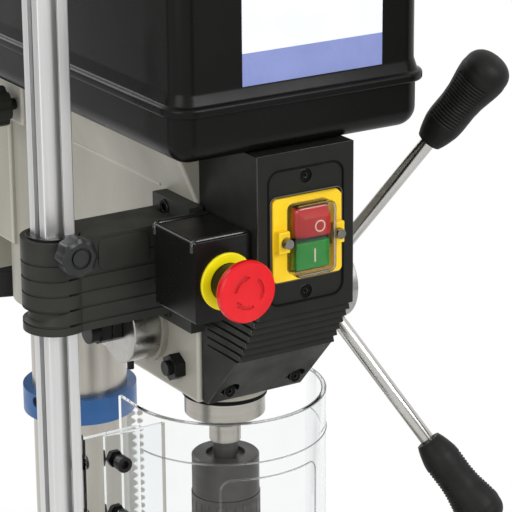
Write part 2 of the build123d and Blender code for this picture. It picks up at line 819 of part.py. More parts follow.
def make_head():
    """Head casting, its nose, column boss, rear block and the bores for everything it carries."""
    outline = [(-head_half_w, head_bottom_z), (head_half_w, head_bottom_z), (head_half_w, flare_z),
               (head_top_half_w, head_top_z), (-head_top_half_w, head_top_z), (-head_half_w, flare_z)]
    head = prism_y(outline, head_front_y, column_y)
    head += rod_z(0, column_y, boss_r, head_bottom_z - soft_edge, head_top_z)
    head += rod_z(0, spindle_y, nose_band_r, nose_z, nose_step_z)
    head += rod_z(0, spindle_y, nose_lip_r, nose_step_z, head_bottom_z)
    head += rod_z(0, spindle_y, nose_r - soft_edge, head_bottom_z, head_top_z)
    head += box(-rear_half_w, rear_half_w, column_y, rear_y, rear_z, head_top_z)
    head += box(-bar_lug_x, bar_lug_x, bar_lug_y0, rear_y, bar_lug_z0, bar_lug_z1)
    head += rod_x(feed_y, feed_z, depth_boss_r, head_half_w, depth_boss_x)
    head += rod_x(feed_y, feed_z, can_ring_r, -can_x1 + air, -head_half_w)
    for side in (-1, 1):
        head -= rod_y(side * bar_x, bar_z, bar_r + run_fit, bar_y0 - motor_travel - air, rear_y + overrun)
        near = side * (bar_x + bar_r)
        far = side * (bar_lug_x + overrun)
        head -= rod_x(lock_knob_y, bar_z, lock_stud_r + run_fit, min(near, far), max(near, far))
    head -= box(-core_half_w, core_half_w, core_y0, core_y1, head_bottom_z - overrun, core_top_z)
    head -= rod_z(0, column_y, column_r + run_fit, head_bottom_z - 2 * overrun, column_top_z + air)
    head -= rod_z(0, spindle_y, quill_r + run_fit, nose_z - overrun, insert_z0 - air)
    head -= rod_z(0, spindle_y, pulley_bearing_r + run_fit, insert_z0 - overrun, head_top_z + overrun)
    head -= rod_x(feed_y, feed_z, feed_shaft_r + run_fit, -can_x0, depth_boss_x + overrun)
    feed_tip_r = quill_module * (feed_teeth / 2 + 1)
    head -= rod_x(feed_y, feed_z, feed_tip_r + air, -quill_rack_w, depth_boss_x + overrun)
    head -= rod_z(0, idler_pivot_y, idler_pin_r + run_fit, core_top_z - overrun,
                  head_top_z + overrun)
    head -= rod_x(stop_stud_y, stop_stud_z, stop_stud_r + run_fit, -head_half_w - overrun, -quill_r)
    for z in head_screw_zs:
        head -= rod_x(column_y, z, stop_stud_r + run_fit, column_r - overrun, boss_r + overrun)
    head -= rod_x(tension_pin_y, tension_pin_z, idler_pin_r + run_fit, rear_half_w - tension_pin_l - air,
                  rear_half_w + overrun)
    for z in foot_screw_zs:
        head -= rod_x(foot_screw_y, z, guard_screw_r + run_fit, -head_half_w - overrun,
                      -quill_r - overrun)
    put("head_casting", head)

    screws = []
    for z in head_screw_zs:
        screw = rod_x(column_y, z, stop_stud_r, column_r + run_fit, boss_r - soft_edge)
        socket = hex_along("x", column_y, z, stop_stud_r, boss_r - stop_stud_r, boss_r + overrun)
        screws.append(screw - socket)
    put("set_screws", *screws)

    root_x = -head_half_w
    stud = rod_x(stop_stud_y, stop_stud_z, stop_stud_r, root_x - stop_stud_out, -quill_r - air)
    nut = hex_along("x", stop_stud_y, stop_stud_z, stop_nut_af, root_x - stop_nut_t, root_x)
    put("set_screws", stud + nut)


def make_quill():
    """Quill with rack teeth, its bearings, the spindle and the chuck arbor."""
    quill = rod_z(0, spindle_y, quill_r, quill_z0, quill_z1)
    quill -= rod_z(0, spindle_y, quill_bore_r, quill_z0 - overrun, quill_z1 + overrun)
    quill -= rod_z(0, spindle_y, bearing_r + run_fit, quill_z0 - overrun, quill_z0 + bearing_h)
    quill -= rod_z(0, spindle_y, bearing_r + run_fit, quill_z1 - bearing_h, quill_z1 + overrun)
    pitch = math.pi * quill_module
    pitch_y = spindle_y + quill_pitch_r
    count = int((quill_z1 - quill_rack_z0) / pitch)
    first = feed_z - pitch * int((feed_z - quill_rack_z0) / pitch)
    gap_shares = ((-0.16, -1.2), (-0.37, 1.6), (0.37, 1.6), (0.16, -1.2))
    for n in range(count):
        z = first + pitch * n
        points = [(pitch_y + quill_module * depth, z + pitch * share) for share, depth in gap_shares]
        quill -= prism_x(points, -quill_rack_w / 2, quill_rack_w / 2)
    flat_y = pitch_y + quill_module
    quill -= box(-quill_rack_w / 2, quill_rack_w / 2, flat_y, flat_y + overrun,
                 quill_rack_z0 - pitch, first + pitch * count)
    put("quill", quill)

    rings = []
    for z in (quill_z0, quill_z1 - bearing_h):
        ring = rod_z(0, spindle_y, bearing_r, z + air, z + bearing_h)
        rings.append(ring - rod_z(0, spindle_y, spindle_r + run_fit, z - overrun, z + bearing_h + overrun))
    put("quill", *rings)

    spindle = turned([(0, spindle_nose_z), (spindle_nose_r, spindle_nose_z),
                      (spindle_nose_r, spindle_neck_z), (spindle_collar_r, spindle_collar_z0),
                      (spindle_collar_r, quill_z0 - air), (spindle_r, quill_z0 - air),
                      (spindle_r, quill_z1 + air), (spline_r, quill_z1 + air),
                      (spline_r, spline_top_z), (0, spline_top_z)], 0, spindle_y)
    spindle -= turned([(0, spindle_nose_z - overrun), (taper_r0 + run_fit, spindle_nose_z - overrun),
                       (taper_r0 + run_fit, spindle_nose_z), (taper_r1 + run_fit, spindle_nose_z + taper_l),
                       (0, spindle_nose_z + taper_l)], 0, spindle_y)
    put("spindle", spindle)
    socket_z = chuck_top_z - chuck_socket_l
    put("chuck_body", turned([(0, socket_z), (chuck_socket_r, socket_z),
                              (chuck_socket_r, chuck_top_z), (taper_r0, chuck_top_z),
                              (taper_r0, spindle_nose_z), (taper_r1, spindle_nose_z + taper_l - air),
                              (0, spindle_nose_z + taper_l - air)], 0, spindle_y))


def jaw_place(turn, along):
    """Frame of one jaw: its axis leans outward from the tip by the jaw angle."""
    return (Pos(0, spindle_y, 0) * Rot(0, 0, turn) * Pos(jaw_tip_r, 0, jaw_tip_z)
            * Rot(0, jaw_angle, 0) * Pos(0, 0, along))


def make_chuck():
    """Drill chuck: body, turning sleeve and three sliding jaws."""
    split_z = chuck_top_z - chuck_body_h
    body = turned([(0, chuck_nose_z), (chuck_nose_r, chuck_nose_z),
                   (chuck_core_r, chuck_nose_z + chuck_core_r - chuck_nose_r), (chuck_core_r, split_z),
                   (chuck_r, split_z), (chuck_r, chuck_top_z - soft_edge),
                   (chuck_r - soft_edge, chuck_top_z), (chuck_recess_r, chuck_top_z),
                   (chuck_recess_r, chuck_top_z - chuck_recess_h), (0, chuck_top_z - chuck_recess_h)],
                  0, spindle_y)
    body -= rod_z(0, spindle_y, chuck_socket_r + run_fit, chuck_top_z - chuck_socket_l - air,
                  chuck_top_z + overrun)
    body -= rod_z(0, spindle_y, jaw_tip_r - soft_edge, chuck_nose_z - overrun, jaw_tip_z + jaw_l)
    for n in range(3):
        hole_l = jaw_l + jaw_travel + air
        drill = Cylinder(jaw_r + run_fit, hole_l + 2 * overrun)
        body -= jaw_place(120 * n, -overrun) * Pos(0, 0, hole_l / 2) * drill
        jaw = jaw_place(120 * n, 0) * Pos(0, 0, jaw_l / 2) * Cylinder(jaw_r, jaw_l)
        put("chuck_jaw_" + str(n + 1), jaw)
    put("chuck_body", body)
    sleeve_z = chuck_nose_z + chuck_core_r - chuck_nose_r
    sleeve = rod_z(0, spindle_y, chuck_r + soft_edge / 2, sleeve_z, split_z - air)
    sleeve -= rod_z(0, spindle_y, chuck_core_r + air, sleeve_z - overrun, split_z + overrun)
    for n in range(chuck_flute_count):
        sleeve -= (Pos(0, spindle_y, 0) * Rot(0, 0, 360 * n / chuck_flute_count)
                   * rod_z(chuck_r + soft_edge, 0, soft_edge, sleeve_z + overrun, split_z - overrun))
    put("chuck_sleeve", sleeve)


def arm_frame(index, along):
    """Frame on the axis of one feed arm, its Z along the arm away from the hub."""
    cone = math.radians(arm_cone)
    angle = math.radians(arm_phase - 120 * index)
    lean = Vector(math.sin(cone), -math.cos(cone) * math.cos(angle), math.cos(cone) * math.sin(angle))
    start = Vector(hub_arm_x, feed_y, feed_z) + lean * along
    return Plane(origin=start, z_dir=lean).location


def make_feed():
    """Feed shaft with pinion, hub, arms, grips, depth ring and return spring."""
    outline = gear_outline(quill_module, feed_teeth, math.pi)
    moved = [(feed_y + a, feed_z + b) for a, b in outline]
    shaft = prism_x(moved, air - quill_rack_w / 2, quill_rack_w / 2 - air)
    shaft += rod_x(feed_y, feed_z, feed_shaft_r, feed_end_x, hub_x1 - overrun)
    put("feed_shaft", shaft)

    hub = rod_x(feed_y, feed_z, hub_r, hub_x0, hub_x1)
    hub = fillet(hub.edges().filter_by(GeomType.CIRCLE), soft_edge)
    hub -= rod_x(feed_y, feed_z, feed_shaft_r + run_fit, hub_x0 - overrun, hub_x1 - overrun)
    arms = []
    grips = []
    arm_l = arm_l1 - arm_l0
    bore_l = arm_l + overrun
    for n in range(3):
        hub -= arm_frame(n, arm_l0) * Pos(0, 0, bore_l / 2) * Cylinder(arm_r + run_fit, bore_l)
        arms.append(arm_frame(n, arm_l0) * Pos(0, 0, arm_l / 2) * Cylinder(arm_r, arm_l))
        grips.append(arm_frame(n, grip_l0) * grip_body())
    put("feed_hub", hub)
    put("feed_hub", *arms)
    put("feed_grips", *grips)

    ring = rod_x(feed_y, feed_z, depth_ring_r, depth_ring_x0, depth_ring_x1)
    ring = fillet(ring.edges().filter_by(GeomType.CIRCLE), soft_edge)
    ring -= rod_x(feed_y, feed_z, feed_shaft_r + slide_fit, depth_ring_x0 - overrun, depth_ring_x1 + overrun)
    put("depth_ring", ring)

    nuts = []
    for n in range(2):
        x1 = -can_x0 - air - n * (can_nut_t + soft_edge)
        x0 = x1 - can_nut_t
        nut = hex_along("x", feed_y, feed_z, can_nut_af, x0, x1)
        nuts.append(nut - rod_x(feed_y, feed_z, feed_shaft_r + run_fit, x0 - overrun, x1 + overrun))
    put("feed_shaft", *nuts)

    can = rod_x(feed_y, feed_z, can_r, -can_x0, -can_x1)
    can = fillet(can.faces().sort_by(Axis.X)[0].edges(), soft_edge)
    can -= rod_x(feed_y, feed_z, can_r - can_wall, -can_x0 + can_wall, -can_x1 + overrun)
    can -= rod_x(feed_y, feed_z, feed_shaft_r + slide_fit, -can_x0 - overrun, -can_x1)
    put("spring_can", can)
    put("return_spring", spiral_spring())
    pin_x = -(can_x0 + can_x1) / 2
    put("spring_can", rod_z(pin_x, feed_y, can_pin_r, feed_z - can_r - can_pin_l, feed_z - can_r))


def grip_body():
    """Turned hand grip: small end, belly, shallow waist and round far end."""
    length = grip_l1 - grip_l0
    dome_z = length * (1 - grip_dome_share)
    belly = grip_belly_r - grip_neck_r
    swell = grip_end_r - grip_waist_r
    shares = ((0.0, grip_neck_r), (0.03, grip_neck_r + belly * 0.25), (0.09, grip_neck_r + belly * 0.55),
              (0.18, grip_neck_r + belly * 0.9), (0.26, grip_belly_r), (0.43, grip_waist_r),
              (0.54, grip_waist_r + swell * 0.15), (0.63, grip_waist_r + swell * 0.45),
              (0.71, grip_waist_r + swell * 0.75))
    points = [(0, 0)] + [(radius, share * length) for share, radius in shares]
    points.append((grip_end_r, dome_z))
    steps = 6
    for step in range(1, steps):
        angle = math.pi / 2 * step / steps
        points.append((grip_end_r * math.cos(angle), dome_z + (length - dome_z) * math.sin(angle)))
    points.append((0, length))
    grip = turned(points)
    depth = arm_l1 - grip_l0 + soft_edge
    return grip - rod_z(0, 0, grip_bore_r, -overrun, depth)


def spiral_spring():
    """Flat strip wound as a spiral inside the can, one closed strip outline carried along X."""
    steps = 36 * spring_turns
    inner = []
    outer = []
    for n in range(steps + 1):
        angle = 2 * math.pi * spring_turns * n / steps
        radius = spring_coil_r0 + (spring_coil_r1 - spring_coil_r0) * n / steps
        inner.append((feed_y + radius * math.cos(angle), feed_z + radius * math.sin(angle)))
        radius += spring_strip
        outer.append((feed_y + radius * math.cos(angle), feed_z + radius * math.sin(angle)))
    mid_x = -(can_x0 + can_x1) / 2
    return prism_x(inner + outer[::-1], mid_x - spring_w / 2, mid_x + spring_w / 2)


def cover_slab(inset, z0, z1):
    """Plan outline of the belt cover drawn in by an inset, between two heights."""
    return slab(-cover_half_w + inset, cover_half_w - inset, cover_front_y + inset, cover_back_y - inset,
                z0, z1, max(cover_corner_r - inset, soft_edge))


def make_cover():
    """Belt tray, lid with skirt and label, hinge pins and latch."""
    tray = cover_slab(0, head_top_z, lip_z1 - soft_edge)
    tray = fillet(tray.faces().sort_by(Axis.Z)[0].edges(), cover_bottom_r)
    inner = cover_slab(cover_wall, head_top_z + cover_wall, lip_z1 + overrun)
    inner = fillet(inner.faces().sort_by(Axis.Z)[0].edges(), cover_bottom_r - cover_wall)
    tray -= inner
    tray -= rod_z(0, spindle_y, pulley_bearing_r + overrun, head_top_z - overrun, head_top_z + 2 * cover_wall)
    tray -= rod_z(0, idler_pivot_y, idler_pin_r + overrun, head_top_z - overrun,
                  head_top_z + 2 * cover_wall)
    slot_r = motor_shaft_r + overrun
    tray -= slab(-slot_r, slot_r, motor_y - slot_r - motor_travel, motor_y + slot_r, head_top_z - overrun,
                 head_top_z + 2 * cover_wall, slot_r - soft_edge)
    put("belt_tray", tray)

    lid = cover_slab(-lip_out, lip_z0, lip_z1)
    lid += cover_slab(lid_draft_in, lip_z1, lid_top_z)
    lid = fillet(lid.faces().sort_by(Axis.Z)[-1].edges(), lid_top_r)
    hollow = cover_slab(lid_draft_in + cover_wall, lip_z0 - overrun, lid_top_z - cover_wall)
    hollow = fillet(hollow.faces().sort_by(Axis.Z)[-1].edges(), lid_top_r - cover_wall)
    lid -= hollow
    lid -= cover_slab(-air, lip_z0 - overrun, lip_z1 - soft_edge + air)
    hinge_x = cover_half_w + lip_out + hinge_knuckle_r
    pins = []
    for y in hinge_ys:
        knuckle = rod_y(hinge_x, lip_z0, hinge_knuckle_r, y - hinge_l / 2, y + hinge_l / 2)
        knuckle += box(cover_half_w + lip_out - soft_edge, hinge_x, y - hinge_l / 2, y + hinge_l / 2,
                       lip_z0, lip_z0 + hinge_knuckle_r)
        lid += knuckle
        lid -= rod_y(hinge_x, lip_z0, hinge_r + run_fit, y - hinge_l, y + hinge_l)
        leaf_z = lip_z0 - hinge_knuckle_r - air
        reach = hinge_l / 2 + hinge_leaf_l
        pin = rod_y(hinge_x, lip_z0, hinge_r, y - reach, y + reach)
        for end in (-1, 1):
            y_in = y + end * (hinge_l / 2 + air)
            y_out = y + end * reach
            pin += rod_y(hinge_x, lip_z0, hinge_knuckle_r, min(y_in, y_out), max(y_in, y_out))
            pin += box(cover_half_w, hinge_x, min(y_in, y_out), max(y_in, y_out),
                       leaf_z - hinge_knuckle_r, lip_z0 - air)
        pins.append(pin)
    put("belt_lid", lid)
    put("belt_tray", *pins)

    front = cover_front_y + lid_draft_in
    put("label_plate", box(label_x0, label_x1, front - label_t, front, label_z0, label_z1))

    x_out = -cover_half_w - lip_out
    latch = rod_x(latch_y, latch_z, latch_r, x_out - latch_out, x_out - air)
    latch = fillet(latch.edges().filter_by(GeomType.CIRCLE), soft_edge)
    latch += rod_x(latch_y, latch_z, latch_r / 3, x_out - air, -cover_half_w - air)
    put("lid_latch", latch)


def cone_pulley(steps, bore_r, x, y):
    """Stepped V-belt pulley, its largest or smallest step first, upward from the lowest step."""
    points = [(bore_r, pulley_z0)]
    half = groove_w / 2
    for n, radius in enumerate(steps):
        z = pulley_z0 + step_h * n
        mid = z + step_h / 2
        points += [(radius, z), (radius, mid - half), (radius - groove_depth, mid - half / 2),
                   (radius - groove_depth, mid + half / 2), (radius, mid + half), (radius, z + step_h)]
    points.append((bore_r, pulley_z0 + step_h * len(steps)))
    return turned(points, x, y)


def belt(r_a, y_a, r_b, y_b, level):
    """V-belt round two pulleys at one step level."""
    z = pulley_z0 + step_h * (level + 0.5)
    seat_a = r_a - groove_depth + soft_edge
    seat_b = r_b - groove_depth + soft_edge
    outer = belt_loop(seat_a + belt_t, y_a, seat_b + belt_t, y_b)
    inner = belt_loop(seat_a, y_a, seat_b, y_b)
    band = outer - inner
    half = belt_w / 4
    return Pos(0, 0, z - half) * extrude(band, 2 * half)


def belt_loop(r_a, y_a, r_b, y_b):
    """Flat face bounded by the outer tangents of two circles."""
    gap = y_b - y_a
    lean = math.asin((r_a - r_b) / gap)
    points = []
    for sign in (-1, 1):
        a = (sign * r_a * math.cos(lean), y_a + r_a * math.sin(lean))
        b = (sign * r_b * math.cos(lean), y_b + r_b * math.sin(lean))
        points += [a, b] if sign < 0 else [b, a]
    face = make_face(Polyline(*points, close=True))
    return face + Pos(0, y_a, 0) * Circle(r_a) + Pos(0, y_b, 0) * Circle(r_b)


def make_drive():
    """Pulleys, bearings, idler arm and the two belts."""
    pulley_top = pulley_z0 + step_h * len(spindle_steps)
    driven = cone_pulley(spindle_steps, spline_r + 2 * run_fit, 0, spindle_y)
    collar = rod_z(0, spindle_y, insert_r, insert_z0, pulley_z0)
    driven += collar - rod_z(0, spindle_y, spline_r + 2 * run_fit, insert_z0 - overrun, pulley_z0 + overrun)
    put("spindle_pulley", driven)
    rings = []
    for z in (insert_z0 + air, head_top_z - pulley_bearing_h):
        ring_top = z + pulley_bearing_h
        ring = rod_z(0, spindle_y, pulley_bearing_r, z, ring_top - air)
        rings.append(ring - rod_z(0, spindle_y, insert_r + run_fit, z - overrun, ring_top + overrun))
    put("set_screws", *rings)

    put("idler_pulley", cone_pulley(idler_steps, idler_pin_r + run_fit, 0, idler_y))
    arm_z0 = head_top_z + cover_wall + air
    arm_z1 = arm_z0 + idler_arm_t
    arm = rod_z(0, idler_pivot_y, idler_pin_r, core_top_z + air, arm_z0)
    half = idler_arm_half_w
    arm += slab(-half, half, idler_pivot_y - half, idler_y + half, arm_z0, arm_z1, idler_pin_r)
    arm += rod_z(0, idler_y, idler_pin_r, arm_z1, pulley_top + soft_edge)
    put("idler_arm", arm)

    low = low_belt_step
    high = high_belt_step
    put("spindle_belt", belt(spindle_steps[low], spindle_y, idler_steps[low], idler_y, low))
    put("motor_belt", belt(idler_steps[high], idler_y, motor_steps[high], motor_y, high))

    motor_pulley = cone_pulley(motor_steps, motor_shaft_r + run_fit, 0, motor_y)
    put("motor_rotor", motor_pulley)


def make_motor():
    """Finned motor with rotor, fan and cover, on a plate with two slide bars."""
    shaft_hole_r = motor_shaft_r + shaft_clear
    body = turned([(shaft_hole_r, motor_z0), (motor_r, motor_z0), (motor_r, motor_z1 - overrun),
                   (motor_r - overrun, motor_z1), (shaft_hole_r, motor_z1)], 0, motor_y)
    for n in range(motor_fin_count):
        fin = box(motor_r - bite, motor_fin_r, -motor_fin_w / 2, motor_fin_w / 2,
                  motor_z0 + 3 * overrun, motor_z1 - 3 * overrun)
        body += Pos(0, motor_y, 0) * Rot(0, 0, 360 * (n + 0.5) / motor_fin_count) * fin
    plate_y0 = rear_y + plate_gap
    plate_y1 = plate_y0 + plate_t
    foot = box(-motor_r / 2, motor_r / 2, plate_y1, motor_y - motor_r / 2, rotor_z0, rotor_z1)
    body += foot
    body -= rod_z(0, motor_y, motor_bore_r, rotor_z0 - overrun, rotor_z1 + overrun)
    put("motor_body", body)

    pulley_top = pulley_z0 + step_h * len(motor_steps)
    rotor = rod_z(0, motor_y, motor_shaft_r, fan_z0, pulley_top)
    rotor += rod_z(0, motor_y, rotor_r, rotor_z0, rotor_z1)
    put("motor_rotor", rotor)
    fan = rod_z(0, motor_y, fan_hub_r, fan_z0, fan_z1)
    for n in range(fan_blades):
        blade = box(fan_hub_r - bite, fan_r, -fan_blade_t / 2, fan_blade_t / 2, fan_z0, fan_z1)
        fan += Pos(0, motor_y, 0) * Rot(0, 0, 360 * n / fan_blades) * blade
    fan -= rod_z(0, motor_y, motor_shaft_r + run_fit, fan_z0 - overrun, fan_z1 + overrun)
    put("motor_rotor", fan)
    cap = rod_z(0, motor_y, motor_r - fan_cover_wall, fan_cover_z0, motor_z0)
    cap = fillet(cap.faces().sort_by(Axis.Z)[0].edges(), overrun)
    cap -= rod_z(0, motor_y, motor_r - 2 * fan_cover_wall, fan_cover_z0 + fan_cover_wall, motor_z0 + overrun)
    for ring, holes in enumerate(vent_counts):
        radius = fan_hub_r + vent_ring_step * ring
        for n in range(holes):
            place = Pos(0, motor_y, 0) * Rot(0, 0, 360 * n / holes)
            cap -= place * rod_z(radius, 0, fan_blade_t, fan_cover_z0 - overrun, fan_cover_z0 + overrun / 2)
    put("motor_body", cap)

    plate = box(-plate_half_w, plate_half_w, plate_y0, plate_y1, plate_z0, bar_lug_z1)
    for side in (-1, 1):
        plate -= rod_y(side * bar_x, bar_z, bar_r + run_fit, plate_y0 - overrun, plate_y1 + overrun)
    put("motor_plate", plate)
    bars = [rod_y(side * bar_x, bar_z, bar_r, bar_y0, plate_y1) for side in (-1, 1)]
    put("motor_plate", *bars)

    casing = slab(-box_x1, -box_x0, motor_y - box_half_l, motor_y + box_half_l, box_z0, box_z1, overrun)
    casing -= rod_z(0, motor_y, motor_fin_r + air, box_z0 - overrun, box_z1 + overrun)
    mid_x = -(box_x0 + box_x1) / 2 - overrun / 2
    casing -= rod_z(mid_x, motor_y, gland_bore_r, box_z0 - overrun, box_z0 + 2 * overrun)
    put("terminal_box", casing)
    gland = hex_along("z", mid_x, motor_y, 2 * gland_r, box_z0 - gland_l / 2, box_z0)
    gland += rod_z(mid_x, motor_y, gland_cap_r, box_z0 - gland_l, box_z0 - gland_l / 2)
    gland -= rod_z(mid_x, motor_y, gland_bore_r, box_z0 - gland_l - overrun, box_z0 + overrun)
    put("terminal_box", gland)

    knob = lobed_knob(lock_knob_r, lock_knob_t, knob_lobes)
    stud_l = bar_lug_x - bar_x - bar_r + 2 * overrun - run_fit
    knob += Pos(0, 0, -stud_l / 2) * Cylinder(lock_stud_r, stud_l)
    put("slide_lock_knob", Pos(-bar_lug_x - 2 * overrun, lock_knob_y, bar_z) * Rot(0, -90, 0) * knob)

    lever_x0 = rear_half_w + air
    lever = rod_x(tension_pin_y, tension_pin_z, idler_pin_r, rear_half_w - tension_pin_l, lever_x0)
    lever += rod_x(tension_pin_y, tension_pin_z, tension_hub_r, lever_x0, lever_x0 + idler_pin_r)
    mid = lever_x0 + idler_pin_r / 2
    lever += rod_z(mid, tension_pin_y, idler_pin_r / 2, tension_pin_z - tension_lever_l, tension_pin_z)
    lever += Pos(mid, tension_pin_y, tension_pin_z - tension_lever_l) * Sphere(tension_ball_r)
    put("tension_lever", lever)


def panel_outline(inset):
    """Side view of the front panel: flat face, stepped ribs, then a plain slope back to the nose."""
    front = panel_front_y + inset
    points = [(head_front_y, head_top_z - air - inset), (front, head_top_z - air - inset), (front, rib_top_z)]
    run = rib_run / rib_count
    drop = rib_drop / rib_count
    if inset:
        points.append((front + rib_run, rib_top_z - rib_drop))
    else:
        for n in range(rib_count):
            z = rib_top_z - drop * n
            points.append((front + run * n, z - drop + rib_groove))
            points.append((front + run * (n + 1) + rib_groove, z - drop))
        points.append((front + rib_run, rib_top_z - rib_drop))
    points += [(panel_low_y + inset, panel_low_z + inset), (head_front_y, panel_low_z + inset)]
    return points


def make_panel():
    """Front panel shell with recess, ribs, screws and the switch mounting plate."""
    panel = prism_x(panel_outline(0), -panel_half_w, panel_half_w)
    inner_half = panel_half_w - panel_wall
    panel -= prism_x(panel_outline(panel_wall), -inner_half, inner_half)
    panel -= rod_z(0, spindle_y, nose_r + air, panel_low_z - overrun, head_top_z)
    recess_y = panel_front_y + switch_plate_in
    panel -= slab_y(-switch_plate_half_w, switch_plate_half_w, switch_plate_z0, switch_plate_z1,
                    panel_front_y - overrun, recess_y, switch_plate_r)
    drop = rib_drop / rib_count
    for n in range(1, rib_count + 1):
        z = rib_top_z - drop * n
        for side in (-1, 1):
            x0 = side * (panel_half_w - rib_groove)
            x1 = side * (panel_half_w + overrun)
            panel -= box(min(x0, x1), max(x0, x1), panel_front_y, head_front_y - 2 * overrun,
                         z, z + rib_groove)
    hole_half = switch_plate_half_w - switch_plate_r
    panel -= box(-hole_half, hole_half, recess_y - overrun, recess_y + 2 * panel_wall,
                 switch_z - window_half_h, switch_z + window_half_h)
    plate = slab_y(-switch_plate_half_w + air, switch_plate_half_w - air, switch_plate_z0 + air,
                   switch_plate_z1 - air, panel_front_y + soft_edge / 2, recess_y, switch_plate_r - air)
    plate -= box(-hole_half, hole_half, recess_y - 2 * overrun, recess_y + overrun,
                 switch_z - window_half_h, switch_z + window_half_h)
    screws = []
    for z in (plate_screw_z0, plate_screw_z1):
        plate -= rod_y(0, z, screw_head_r + air, panel_front_y - overrun, recess_y + overrun)
        panel -= rod_y(0, z, screw_r + run_fit, panel_front_y - overrun, recess_y + 2 * panel_wall)
        screw = rod_y(0, z, screw_head_r, panel_front_y + soft_edge, recess_y)
        screw += rod_y(0, z, screw_r, recess_y, recess_y + panel_wall)
        screw -= hex_along("y", 0, z, screw_r, panel_front_y - overrun, recess_y - air)
        screws.append(screw)
    slope_y = panel_front_y + rib_run
    slope_z = rib_top_z - rib_drop
    low_y = panel_low_y + (slope_y - panel_low_y) * low_screw_share
    low_z = panel_low_z + (slope_z - panel_low_z) * low_screw_share
    for x in (-low_screw_x, low_screw_x):
        panel -= rod_y(x, low_z, low_recess_r, panel_front_y, low_y + soft_edge)
        panel -= rod_y(x, low_z, screw_head_r + air, panel_front_y, low_y + 2 * soft_edge)
        panel -= rod_y(x, low_z, screw_r + run_fit, low_y, head_front_y + overrun)
        screw = rod_y(x, low_z, screw_head_r, low_y - soft_edge, low_y + 2 * soft_edge)
        screw += rod_y(x, low_z, screw_r, low_y + 2 * soft_edge, head_front_y - run_fit)
        screw -= hex_along("y", x, low_z, screw_r, low_y - overrun, low_y + soft_edge)
        screws.append(screw)
    put("front_panel", panel)
    put("front_panel", plate)
    put("case_screws", *screws)


def make_switch():
    """No-volt switch: yellow frame, clear cover with two screws, two buttons and the body behind."""
    face_y = panel_front_y + soft_edge / 2
    front_y = face_y - frame_t
    frame = slab_y(-frame_half_w, frame_half_w, switch_z - frame_half_h, switch_z + frame_half_h,
                   front_y, face_y, frame_corner_r)
    for side in (-1, 1):
        x0 = side * (cover_box_half_w + air)
        x1 = side * (cover_box_half_w + lug_w)
        lug = box(min(x0, x1), max(x0, x1), front_y - lug_out, front_y,
                  switch_z - lug_half_h, switch_z + lug_half_h)
        frame += lug
        frame -= rod_y(side * (cover_box_half_w + lug_screw_in), switch_z, screw_r,
                       front_y - lug_out - overrun, front_y - lug_out / 3)
    opening = box(-window_half_w, window_half_w, front_y - overrun, face_y + overrun,
                  switch_z - window_half_h, switch_z + window_half_h)
    frame -= opening
    put("switch_frame", frame)

    cover_front = front_y - cover_box_out
    cover = slab_y(-cover_box_half_w, cover_box_half_w, switch_z - cover_box_half_h,
                   switch_z + cover_box_half_h, cover_front, front_y, frame_corner_r)
    inner_w = cover_box_half_w - cover_box_wall
    inner_h = cover_box_half_h - cover_box_wall
    cover -= slab_y(-inner_w, inner_w, switch_z - inner_h, switch_z + inner_h,
                    cover_front + cover_box_wall, front_y + overrun, frame_corner_r - cover_box_wall)
    ear_y0 = front_y - lug_out - cover_box_wall
    screws = []
    for side in (-1, 1):
        x0 = side * (cover_box_half_w - soft_edge / 2)
        x1 = side * (cover_box_half_w + 2 * lug_screw_in)
        ear = box(min(x0, x1), max(x0, x1), ear_y0, front_y - lug_out,
                  switch_z - lug_half_h / 2, switch_z + lug_half_h / 2)
        cover += ear
        x = side * (cover_box_half_w + lug_screw_in)
        cover -= rod_y(x, switch_z, small_screw_hole_r, ear_y0 - overrun, front_y)
        screw = rod_y(x, switch_z, small_screw_head_r, ear_y0 - screw_head_h, ear_y0)
        screw += rod_y(x, switch_z, small_screw_r, ear_y0, front_y - lug_out / 3 - air)
        screws.append(screw)
    put("switch_cover", cover)
    put("case_screws", *screws)

    stem_back = face_y + switch_plate_in + panel_wall
    button_back = front_y + soft_edge / 2
    top = switch_z + window_half_h - soft_edge
    middle = switch_z - button_gap / 2
    bottom = switch_z - window_half_h + soft_edge
    start_y = front_y - button_out + stop_extra
    start = box(-button_half_w, button_half_w, start_y, button_back, bottom, middle - button_gap / 2)
    start = fillet(start.faces().sort_by(Axis.Y)[0].edges(), soft_edge)
    stop_y = front_y - button_out - stop_extra
    outline = [(button_back, middle + button_gap), (stop_y + 2 * soft_edge, middle + button_gap),
               (stop_y, middle + button_gap + stop_chamfer_h),
               (stop_y, middle + (top - middle) * stop_flat_share),
               (stop_y + 4 * soft_edge, top), (button_back, top)]
    stop = prism_x(outline, -button_half_w, button_half_w)
    body_front = face_y + switch_plate_in
    body = box(-window_half_w - soft_edge, window_half_w + soft_edge, face_y,
               body_front + switch_body_depth, switch_z - window_half_h + air,
               switch_z + window_half_h - air)
    body -= box(-button_half_w - air, button_half_w + air, face_y - overrun, body_front,
                bottom - air, top + air)
    for z in ((bottom + middle) / 2, (top + middle) / 2):
        half = button_stem_half
        hole = half + air
        body -= box(-hole, hole, body_front, stem_back + 2 * button_press + air, z - hole, z + hole)
        stem = box(-half, half, button_back, stem_back + button_press, z - half, z + half)
        if z < middle:
            start += stem
        else:
            stop += stem
    put("start_button", start)
    put("stop_button", stop)
    put("switch_frame", body)


